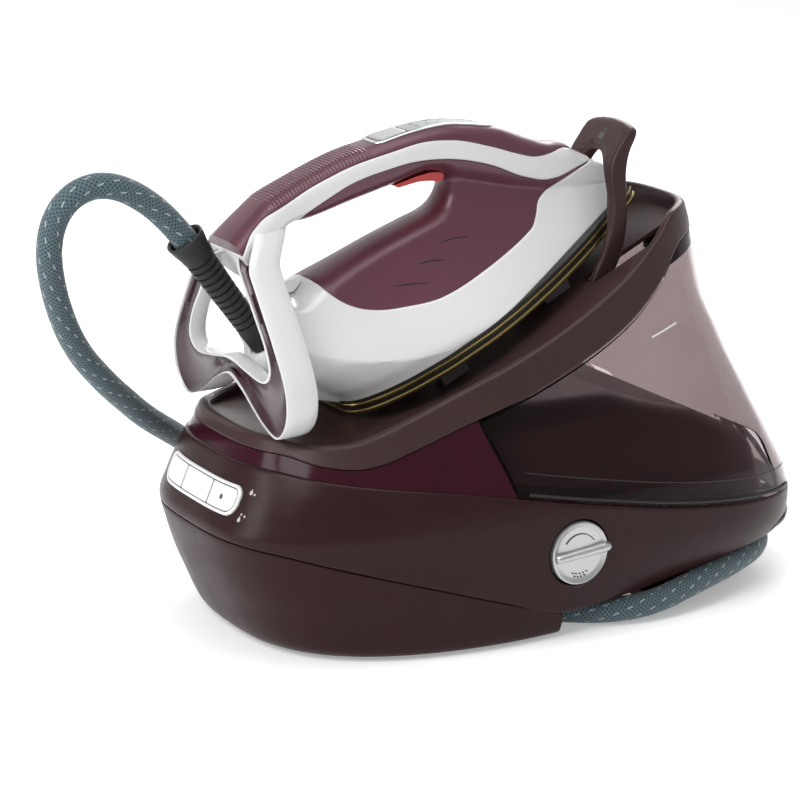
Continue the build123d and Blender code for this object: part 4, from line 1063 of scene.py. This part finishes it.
# burgundy trim
TRI = 0.9
tr_rings = [hull_ring(between(BAND_C, RLOW_C, 0, 0.1), 3.2), hull_ring(between(BAND_C, RLOW_C, 0, 0.1), TRI)]
tr_rings += [hull_ring(between(BAND_C, RLOW_C, k, 0.1 - 0.25 * k), TRI) for k in np.linspace(0.04, 1, 22)]
tr_rings += [hull_ring(between(BAND_C, RLOW_C, 1, -0.15), 3.2)]
trim_ob = shell_piece("base_trim_band", tr_rings, TRIM, None, loop=True)
boolean(trim_ob, [cutter("trim_cut", *prism_cut([(-47.6, 70), (-48.6, 98.7), (-62.6, 143.7), (-70, 175), (260, 260), (260, 20), (-45, 20)]))], sharp=35)
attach(trim_ob, "root")
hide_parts("trim_band")

# rest plate with its raised rim
rest_rings = [hull_ring(lambda x: DECK_C(x) - 3.2, 6, 0.3), hull_ring(lambda x: DECK_C(x) - 3.2, 6, 0.9), hull_ring(lambda x: np.minimum(DECK_C(x) - 3.2, RTOP_C(x) - 4), 6.0), hull_ring(lambda x: np.minimum(RLOW_C(x) + 0.3, DECK_C(x) - 3.4), 6.0)]
rest_rings += [hull_ring(lambda x: RLOW_C(x) + 0.3, 1.0), hull_ring(lambda x: RLOW_C(x) + 0.6, 0.3), hull_ring(lambda x: RLOW_C(x) + 1.2, 0.0)]
rest_rings += [hull_ring(between(RLOW_C, RTOP_C, k, 1.2 * (1 - k) - 2.6 * k), 0.0) for k in np.linspace(0.08, 1, 14)]
rest_rings += [hull_ring(lambda x, a_=a_: RTOP_C(x) - 2.6 + 2.6 * math.sin(a_), 2.6 - 2.6 * math.cos(a_)) for a_ in np.linspace(0.2, 1.4, 6)]
rest_rings += [hull_ring(RTOP_C, 2.8), hull_ring(lambda x: RTOP_C(x) - 0.2, 4.4), hull_ring(lambda x: RTOP_C(x) - 0.9, 5.4)]
rest_rings += [hull_ring(lambda x, k=k: RTOP_C(x) * (1 - k) + np.minimum(DECK_C(x), RTOP_C(x) - 1.0) * k, 6.0 + 2.0 * k) for k in (0.3, 0.6, 0.9, 1.0)]
rest_rings += [hull_ring(lambda x: np.minimum(DECK_C(x), RTOP_C(x) - 1.0), 11.0), hull_ring(DECK_C, 11.0, 0.85), hull_ring(DECK_C, 11.0, 0.6), hull_ring(DECK_C, 11.0, 0.3), hull_ring(DECK_C, 11.0, 0.1)]
zc_ = float(DECK_C(15.0))
rest_ob = shell_piece("iron_rest_plate", rest_rings, TAUPE, None, cap0=(15, 0, zc_ - 3.2), cap1=(15, 0, zc_))
boolean(rest_ob, [cutter("leg_a", *box_mesh(54, 116, 29, 43, 190, 262)), cutter("leg_b", *box_mesh(54, 116, -43, -29, 190, 262))], sharp=35)
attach(rest_ob, "root")
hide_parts("iron_rest")


def front_x(y, z):
    """front face of the casing at width y and height z"""
    a, c, b, n_ = (L_XR(z) - L_XF(z)) / 2, (L_XR(z) + L_XF(z)) / 2, L_B(z), L_N(z)
    return c - a * np.clip(1 - (np.abs(y) / b) ** n_, 0, 1) ** (1 / n_)


def on_front(v, h):
    """points of the front face (y, z) lifted h off the surface"""
    y, z = v[:, 0], v[:, 1]
    e = 0.5
    gx = (front_x(y + e, z) - front_x(y - e, z)) / (2 * e)
    gz = (front_x(y, z + e) - front_x(y, z - e)) / (2 * e)
    n_ = np.stack([-np.ones_like(gx), gx, gz], 1)
    n_ /= np.linalg.norm(n_, axis=1)[:, None]
    return np.stack([front_x(y, z), y, z], 1) + n_ * np.asarray(h)[:, None]


def front_patch(name, poly, top, bottom, material, body, round_=0.5, offsets=(0.12, 0.4, 0.9), spacing=2.0, dish=0.0):
    poly = np.asarray(poly, float)

    def height(v):
        d = seg_dist(v, poly)
        return top - round_ * np.clip(1 - d / (round_ * 1.6), 0, 1) ** 2 - dish * np.clip(d / 8.0, 0, 1)
    return region_piece(name, poly, spacing, height, lambda v: np.full(len(v), float(bottom)), material, body, on_front, offsets=offsets, sharp=40)


PO = rounded([(-48.5, 90.2), (48.5, 90.2), (48.5, 109.0), (-48.5, 109.0)], [9.5, 9.5, 6.5, 6.5], 8)
PI = rounded([(-46.2, 92.2), (46.2, 92.2), (46.2, 107.0), (-46.2, 107.0)], [7.6, 7.6, 4.8, 4.8], 8)
PO = resample(PO, 200, closed=True)
PI = resample(PI, 200, closed=True)
bez_v = []
bez_sec = [(0.0, -1.2), (0.0, 0.9), (0.12, 1.4), (0.35, 1.7), (0.7, 1.75), (0.9, 1.6), (1.0, 1.1), (1.0, -1.2)]
for a_, h_ in bez_sec:
    bez_v.append(on_front(PO * (1 - a_) + PI * a_, np.full(200, h_)))
bez_ob = make("panel_frame", np.concatenate(bez_v), grid_faces(len(bez_sec), 200, close_rows=True), WHITE, "root")
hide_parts("panel_bezel")
back_ob = front_patch("panel_gasket", resample(rounded([(-49.0, 89.7), (49.0, 89.7), (49.0, 109.5), (-49.0, 109.5)], [9.8, 9.8, 6.8, 6.8], 8), 120, closed=True), 0.12, -1.0, LINE, "root", 0.05)
for nm_, node_, body_, y0_, y1_ in (("left", "button_left", "key_left", 18.9, 45.5), ("middle", "button_middle", "key_middle", -17.5, 17.5), ("right", "button_right", "key_right", -45.5, -18.9)):
    rr_ = {"left": [0.8, 7.0, 4.4, 0.8], "middle": [0.8] * 4, "right": [7.0, 0.8, 0.8, 4.4]}[nm_]
    kp = resample(rounded([(y0_, 92.7), (y1_, 92.7), (y1_, 106.5), (y0_, 106.5)], rr_, 6), 90, closed=True)
    k_ob = front_patch("key_" + nm_, kp, 1.65, -1.6, KEY_WHITE, body_, 0.35, spacing=2.4, dish=0.15)
    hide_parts(node_)

# generic marks: rings, drops and dots, with no lettering


def ring_poly(cy, cz, r, n_=28):
    return [(cy + r * math.cos(2 * math.pi * k / n_), cz + r * math.sin(2 * math.pi * k / n_)) for k in range(n_)]


def drop_poly(cy, cz, r, n_=24):
    out = []
    for k in range(n_):
        t = 2 * math.pi * k / n_
        s_ = 1.0 + (0.9 * max(0.0, math.sin(t)) ** 6)
        out.append((cy + r * math.cos(t) * (1 - 0.35 * max(0.0, math.sin(t)) ** 2), cz + r * s_ * math.sin(t)))
    return out


for i_, (poly_, m_, b_, h_) in enumerate(((drop_poly(-54.2, 106.8, 1.25), ICON, "root", 0.12), (ring_poly(-57.0, 106.2, 0.7, 14), ICON, "root", 0.12), (drop_poly(-52.6, 90.4, 1.25), ICON, "root", 0.12),
                                          (ring_poly(-56.0, 93.0, 0.7, 14), ICON, "root", 0.12), (ring_poly(-53.2, 93.8, 0.7, 14), ICON, "root", 0.12), (ring_poly(-32, 99.6, 1.6, 20), ICON_DARK, "key_right", 0.85))):
    ic = front_patch(f"mark_{i_}", poly_, h_ if b_ == "root" else 1.62, -0.3 if b_ == "root" else 1.0, m_, b_, 0.02, offsets=(0.2,), spacing=1.2)
    if i_ == 0:
        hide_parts("indicator_lenses")
# faint ring on the middle key
fr_v = []
for r_, h_ in ((4.6, 1.25), (4.6, 1.62), (4.1, 1.62), (4.1, 1.25)):
    fr_v.append(on_front(np.array(ring_poly(0, 99.6, r_, 48)), np.full(48, h_)))
fr_ob = make("key_ring_mark", np.concatenate(fr_v), grid_faces(4, 48, close_rows=True), WHITE_SATIN, "key_middle")

# ---- collector cap -----------------------------------------------------------
cap = [(0.01, -2.6), (8, -2.5), (15.5, -1.9), (17.4, -2.2), (18.4, -3.0), (19.4, -3.3), (20.2, -2.8), (20.5, -1.6), (20.5, 4.5), (19.5, 5.5), (12.5, 5.6), (12.5, 40.0), (0.01, 40.0)]
cv = lathe(cap, (KC[0], -121.6, KC[2]), (0, 1, 0), 120)
cap_ob = make("collector_knob", cv, grid_faces(len(cap), 120), SILVER, "collector", sharp=40, merge=1e-6)
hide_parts("collector_cap")
ang_ = math.radians(5)
bar = rounded([(-18.8, -3.0), (18.0, -3.6), (22.4, -2.2), (22.4, 2.2), (18.0, 3.6), (-18.8, 3.0)], [2.6, 4, 2.2, 2.2, 4, 2.6], 8)
bar = resample(bar, 120, closed=True)
bar = bar @ np.array([[math.cos(ang_), math.sin(ang_)], [-math.sin(ang_), math.cos(ang_)]])


def bar_h(v):
    d = seg_dist(v, bar)
    t = np.clip(d / 3.2, 0, 1)
    return 2.2 + 4.6 * np.sqrt(1 - (1 - t) ** 2)


bar_ob = region_piece("collector_grip", bar, 1.1, bar_h, lambda v: np.full(len(v), 0.5), SILVER, "collector", lambda v, h: np.stack([KC[0] + v[:, 0], -121.6 - h, KC[2] + v[:, 1]], 1), offsets=(0.1, 0.35, 0.8, 1.5), sharp=40)
k_ = 0
for dx_, dz_ in ((-5, -12.5), (-2.6, -13.2), (0, -13.5), (2.6, -13.2), (5, -12.5), (-3.6, -15), (-1.2, -15.6), (1.2, -15.6), (3.6, -15)):
    dv = lathe([(0.01, -2.75), (0.45, -2.7), (0.55, -2.4), (0.55, -1.0)], (KC[0] + dx_, -121.6, KC[2] + dz_), (0, 1, 0), 14)
    d_ob = make(f"cap_dot_{k_}", dv, grid_faces(4, 14) + [tuple(range(3 * 14, 4 * 14))], ICON_DARK, "collector", merge=1e-6)
    k_ += 1
a_v = []
arc_n = 40
for i_ in range(arc_n):
    t_ = math.radians(35 + 110 * i_ / (arc_n - 1))
    for r_, h_ in ((12.8, -2.35), (12.8, -2.62), (12.2, -2.62), (12.2, -2.35)):
        a_v.append((KC[0] + r_ * math.cos(t_), -121.6 + h_, KC[2] + r_ * math.sin(t_)))
arc_f = []
for i_ in range(arc_n - 1):
    for j_ in range(4):
        arc_f.append((i_ * 4 + j_, i_ * 4 + (j_ + 1) % 4, (i_ + 1) * 4 + (j_ + 1) % 4, (i_ + 1) * 4 + j_))
arc_f += [(3, 2, 1, 0), tuple((arc_n - 1) * 4 + j_ for j_ in range(4))]
arc_ob = make("cap_arc_mark", a_v, arc_f, ICON_DARK, "collector")

# ---- lock lever ----------------------------------------------------------------
LV_F = Smooth([(190, 52), (197, 53), (204, 54.5), (214, 59), (222, 63.5), (232, 67.5), (241, 71), (257, 74.5), (270, 75.5), (278, 77), (284, 79.5), (290, 83.5), (297, 88.5), (304, 94)])
LV_R = Smooth([(190, 60), (197, 62.5), (204, 67), (211, 72.5), (219, 77), (231, 81), (245, 83.5), (259, 85.5), (275, 88.5), (286, 92), (296, 97), (304, 100)])
lo_pts = [(-39.5, 199), (-39.2, 215), (-38, 240), (-34.5, 256), (-30.2, 268), (-27.2, 279), (-26.0, 288), (-25.6, 296), (-23.4, 300.4), (-14, 303.0), (0, 304.0)]
li_pts = [(0, 284.8), (-5, 284.0), (-9.5, 281.0), (-13.5, 275.5), (-17.5, 267.5), (-21.8, 258), (-27, 247.5), (-31.5, 236), (-34, 220), (-34.2, 199)]
left_o = catmull(lo_pts, 6)
left_i = catmull(li_pts, 6)
lever_poly = np.vstack([left_o, (left_o[::-1] * np.array((-1, 1)))[1:], (left_i[::-1] * np.array((-1, 1))), left_i[1:]])


def lever_face(sign):
    def f(v):
        d = seg_dist(v, lever_poly)
        F_, R_ = LV_F(v[:, 1]), LV_R(v[:, 1])
        mid_, half_ = (F_ + R_) / 2, (R_ - F_) / 2
        t = np.clip(d / 2.4, 0, 1)
        rd = np.sqrt(np.clip(1 - (1 - t) ** 2, 0, 1))
        lip = 0.0
        # shallow recess round the arch on the front face
        di = seg_dist(v, np.vstack([left_i[::-1], (left_i * np.array((-1, 1)))[1:]]), closed=False)
        rec = 1.6 * (1 - sstep(di, 4.2, 5.4)) * sstep(v[:, 1], 250, 262) if sign < 0 else 0.0
        return mid_ + sign * (half_ - 2.4 + 2.4 * rd) - sign * rec * (1 if sign < 0 else 0)
    return f


lev_ob = region_piece("lock_lever", lever_poly, 1.7, lever_face(-1), lever_face(1), TAUPE, "lock", lambda v, x: np.stack([x, v[:, 0], v[:, 1]], 1), offsets=(0.12, 0.45, 1.0, 1.9), sharp=34)
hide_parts("lock_hoop")
# generic padlock mark on the lever


def on_lever(v, h):
    return np.stack([LV_F(v[:, 1]) - h, v[:, 0], v[:, 1]], 1)


lock_body = rounded([(-2.6, 291.6), (2.6, 291.6), (2.6, 295.4), (-2.6, 295.4)], 0.6, 4)
lb_ob = region_piece("lever_mark_body", resample(lock_body, 40, closed=True), 1.0, lambda v: np.full(len(v), 0.12), lambda v: np.full(len(v), -0.6), ICON_DARK, "lock", on_lever, offsets=(0.2,))
sh_v, sh_n = [], 22
for i_ in range(sh_n):
    t_ = math.pi * i_ / (sh_n - 1)
    for r_, h_ in ((2.3, -0.4), (2.3, 0.12), (1.7, 0.12), (1.7, -0.4)):
        sh_v.append(on_lever(np.array([[r_ * math.cos(t_), 295.4 + 1.25 * r_ * math.sin(t_)]]), h_)[0])
sh_f = []
for i_ in range(sh_n - 1):
    for j_ in range(4):
        sh_f.append((i_ * 4 + j_, i_ * 4 + (j_ + 1) % 4, (i_ + 1) * 4 + (j_ + 1) % 4, (i_ + 1) * 4 + j_))
sh_f += [(3, 2, 1, 0), tuple((sh_n - 1) * 4 + j_ for j_ in range(4))]
sh_ob = make("lever_mark_shackle", sh_v, sh_f, ICON_DARK, "lock")

# ---- hose boot: ribbed rubber sleeve, flared at the mouth -------------------------
bp = [(0.01, 0.0), (7.6, 0.0), (8.0, 1.0)]
h_ = 4.0
while h_ < 72:
    r0 = 8.0 + 0.9 * (h_ / 72) + 0.7 * (h_ / 72) ** 3
    if h_ > 12:
        bp += [(r0, h_), (r0, h_ + 2.6), (r0 - 1.15, h_ + 3.0), (r0 - 1.15, h_ + 4.1), (r0, h_ + 4.5)]
        h_ += 4.8
    else:
        bp += [(r0, h_)]
        h_ += 4.0
bp += [(9.9, 75.5), (10.4, 79), (11.5, 83.5), (12.2, 87), (12.55, 89.2), (12.4, 90.2), (11.8, 90.6), (11.0, 90.2), (10.3, 88.6), (9.2, 84), (8.5, 80), (8.3, 76), (0.01, 76)]
bv = lathe(bp, tuple(B0), tuple(BD), 72, ref=(0, 1, 0))
boot_ob = make("hose_boot", bv, grid_faces(len(bp), 72), BOOT, "boot", sharp=50, merge=1e-6)
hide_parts("cord_boot")

# ---- tank markings: level line, and ribs along the lower edge coloured dark as painted shade under the tank's ledges ---


def side_y(x, z, inset=0.0):
    a, c, b, n_ = (L_XR(z) - L_XF(z)) / 2 - inset, (L_XR(z) + L_XF(z)) / 2, L_B(z) - inset, L_N(z)
    return -b * np.clip(1 - (np.abs(x - c) / a) ** n_, 0, 1) ** (1 / n_)


def side_line(name, pts, r, material, body, lift=0.1, n_=60):
    c = resample(pts, n_)
    p = np.stack([c[:, 0], side_y(c[:, 0], c[:, 1]) - lift, c[:, 1]], 1)
    t = np.gradient(p, axis=0)
    t /= np.linalg.norm(t, axis=1)[:, None]
    a = np.cross(t, np.tile(np.array((0.0, -1.0, 0.2)), (n_, 1)))
    a /= np.linalg.norm(a, axis=1)[:, None]
    b = np.cross(t, a)
    v = []
    for i in range(n_):
        for j in range(8):
            th = 2 * np.pi * j / 8
            v.append(p[i] + a[i] * math.cos(th) * r + b[i] * math.sin(th) * r * 0.5)
    o = make(name, v, grid_faces(n_, 8) + [tuple(range(8))[::-1], tuple((n_ - 1) * 8 + j for j in range(8))], material, body, sharp=60)
    return o



# ---- rounded cover over the works, seen through the tank ------------------------------
wk_poly = resample(rounded([(-34, 47), (-48.0, 110), (-41, 137.6), (60, 137.6), (114, 121.5), (156, 100.5), (175.5, 47)], [3, 16, 16, 40, 30, 22, 3], 10), 220, closed=True)


def wk_half(v):
    d = seg_dist(v, wk_poly)
    wide = np.interp(v[:, 1], [47, 60, 90, 110, 125, 138], [91, 91, 90, 86, 79, 64])
    ends = np.minimum(sstep(v[:, 0], -75, -20), 1 - 0.22 * sstep(v[:, 0], 120, 175))
    t_ = np.clip(d / 12.0, 0, 1)
    return wide * (0.62 + 0.38 * ends) * (0.80 + 0.20 * np.sqrt(1 - (1 - t_) ** 2))


wk_ob = region_piece("works_hood", wk_poly, 4.0, lambda v: -wk_half(v), lambda v: wk_half(v), HOOD, "root", lambda v, h: np.stack([v[:, 0], h, v[:, 1]], 1), offsets=(0.3, 1.2, 3.0, 6.0, 9.0), sharp=40)
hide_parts("works_cover")

# ---- water tank: clear walls standing on the casing band -------------------------------


def hull_solid(inset, dlo, dhi):
    lo, hi = between(BAND_C, RLOW_C, 0, dlo), between(BAND_C, RLOW_C, 1, -dhi)
    rings = [hull_ring(lo, inset, k) for k in (0.06, 0.3, 0.6, 0.85)]
    rings += [hull_ring(between(BAND_C, RLOW_C, k, dlo * (1 - k) - dhi * k), inset) for k in np.linspace(0, 1, 20)]
    rings += [hull_ring(hi, inset, k) for k in (0.85, 0.6, 0.3, 0.06)]
    v = np.concatenate(rings)
    n_ = len(rings)
    c0, c1 = rings[0].mean(0), rings[-1].mean(0)
    v = np.vstack([v, c0, c1])
    f = grid_faces(n_, NT)
    f += [(n_ * NT, (k + 1) % NT, k) for k in range(NT)] + [(n_ * NT + 1, (n_ - 1) * NT + k, (n_ - 1) * NT + (k + 1) % NT) for k in range(NT)]
    return v, f


def tank_prism(d):
    return prism_cut([(-45.0 + d, 20), (-47.2 + d, 70), (-48.2 + d, 98.7), (-62.2 + d, 143.7), (-70 + d, 175), (260, 330), (260, 20)])


tank_ob = make("water_tank_shell", *hull_solid(0.5, 0.5, 0.6), SMOKE, None, sharp=38)
boolean(tank_ob, [cutter("tank_front", *tank_prism(0.0))], "INTERSECT", sharp=38)
inner_ob = cutter("tank_inside", *hull_solid(2.9, 3.0, 2.8))
boolean(inner_ob, [cutter("tank_inside_front", *tank_prism(2.6))], "INTERSECT", sharp=38)
hump = rounded([(-76, 40), (-76, 139.6), (61, 139.6), (115, 123.5), (158, 102.5), (178.5, 40)], [0.5, 0.5, 41, 31, 23, 3], 10)
boolean(tank_ob, [inner_ob, cutter("tank_hump", *prism_cut([tuple(p_) for p_ in hump], 93))], "DIFFERENCE", sharp=38)
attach(tank_ob, "tank")
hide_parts("water_tank")
side_line("tank_level_mark", [(74, 177.0), (97, 182.5)], 0.55, WHITE_SATIN, "tank")
# both ribs are coloured dark: painted shade standing for the dark lines under the ledges where the clear tank sits on
# the casing band
for i_, (dz_, m_) in enumerate(((2.2, LINE), (15.0, DARK))):
    xs_ = np.linspace(-40, 185, 60)
    side_line(f"tank_rib_painted_shade_{i_}", np.stack([xs_, BAND_C(xs_) + dz_ + 1.0], 1), 0.9 if i_ == 0 else 0.35, m_, "tank", lift=0.15, n_=90)
#BASE_PIECES_END

# ---------------------------------------------------------------------------
# stage: pale floor running up into a backdrop, soft studio light
# ---------------------------------------------------------------------------
fl = Nodes("studio_floor")
fl.set(Roughness=0.6, Specular_IOR_Level=0.2)
fl.link(fl.ramp(fl.noise(3.0), [(0.3, (0.86, 0.86, 0.86)), (0.7, (0.89, 0.89, 0.89))]), fl.b.inputs["Base Color"])
fl.set(Emission_Color=(1.0, 1.0, 1.0, 1.0), Emission_Strength=0.30)
prof_ = [(-6.0, 0.0), (-2.0, 0.0), (0.0, 0.0), (2.2, 0.0)] + [(2.2 + 1.2 * math.sin(a * math.pi / 16), 1.2 - 1.2 * math.cos(a * math.pi / 16)) for a in range(1, 9)] + [(3.4, 2.5), (3.4, 5.0)]
fv = [(x, y, z) for y, z in prof_ for x in (-7.0, 7.0)]
ff = [(2 * i, 2 * i + 1, 2 * i + 3, 2 * i + 2) for i in range(len(prof_) - 1)]
floor = make("studio_floor", fv, ff, fl.m, mm=False, sharp=0)
floor.rotation_euler = (0, 0, AZ)

world = bpy.data.worlds.new("studio")
world.use_nodes = True
world.node_tree.nodes["Background"].inputs[0].default_value = (1.0, 1.0, 1.0, 1.0)
world.node_tree.nodes["Background"].inputs[1].default_value = 0.50
scene.world = world


def light(name, loc, size, energy, target=(-0.03, 0, 0.15), colour=(1, 1, 1), size_y=None):
    d = bpy.data.lights.new(name, "AREA")
    d.energy = energy
    d.color = colour
    d.size = size
    if size_y:
        d.shape = "RECTANGLE"
        d.size_y = size_y
    o = bpy.data.objects.new(name, d)
    scene.collection.objects.link(o)
    o.location = loc
    o.rotation_mode = "QUATERNION"
    o.rotation_quaternion = (Vector(loc) - Vector(target)).to_track_quat("Z", "Y")
    return o


light("key_top_left", (-1.6, -0.5, 1.8), 1.1, 24)
light("front_strip", (-2.2, 0.3, 0.8), 0.6, 13, size_y=1.2)
light("rear_rim", (1.2, 1.3, 1.2), 0.9, 14)
light("top_soft", (0.1, -0.2, 2.2), 1.4, 14)

scene.view_settings.view_transform = "Standard"
scene.view_settings.look = "None"
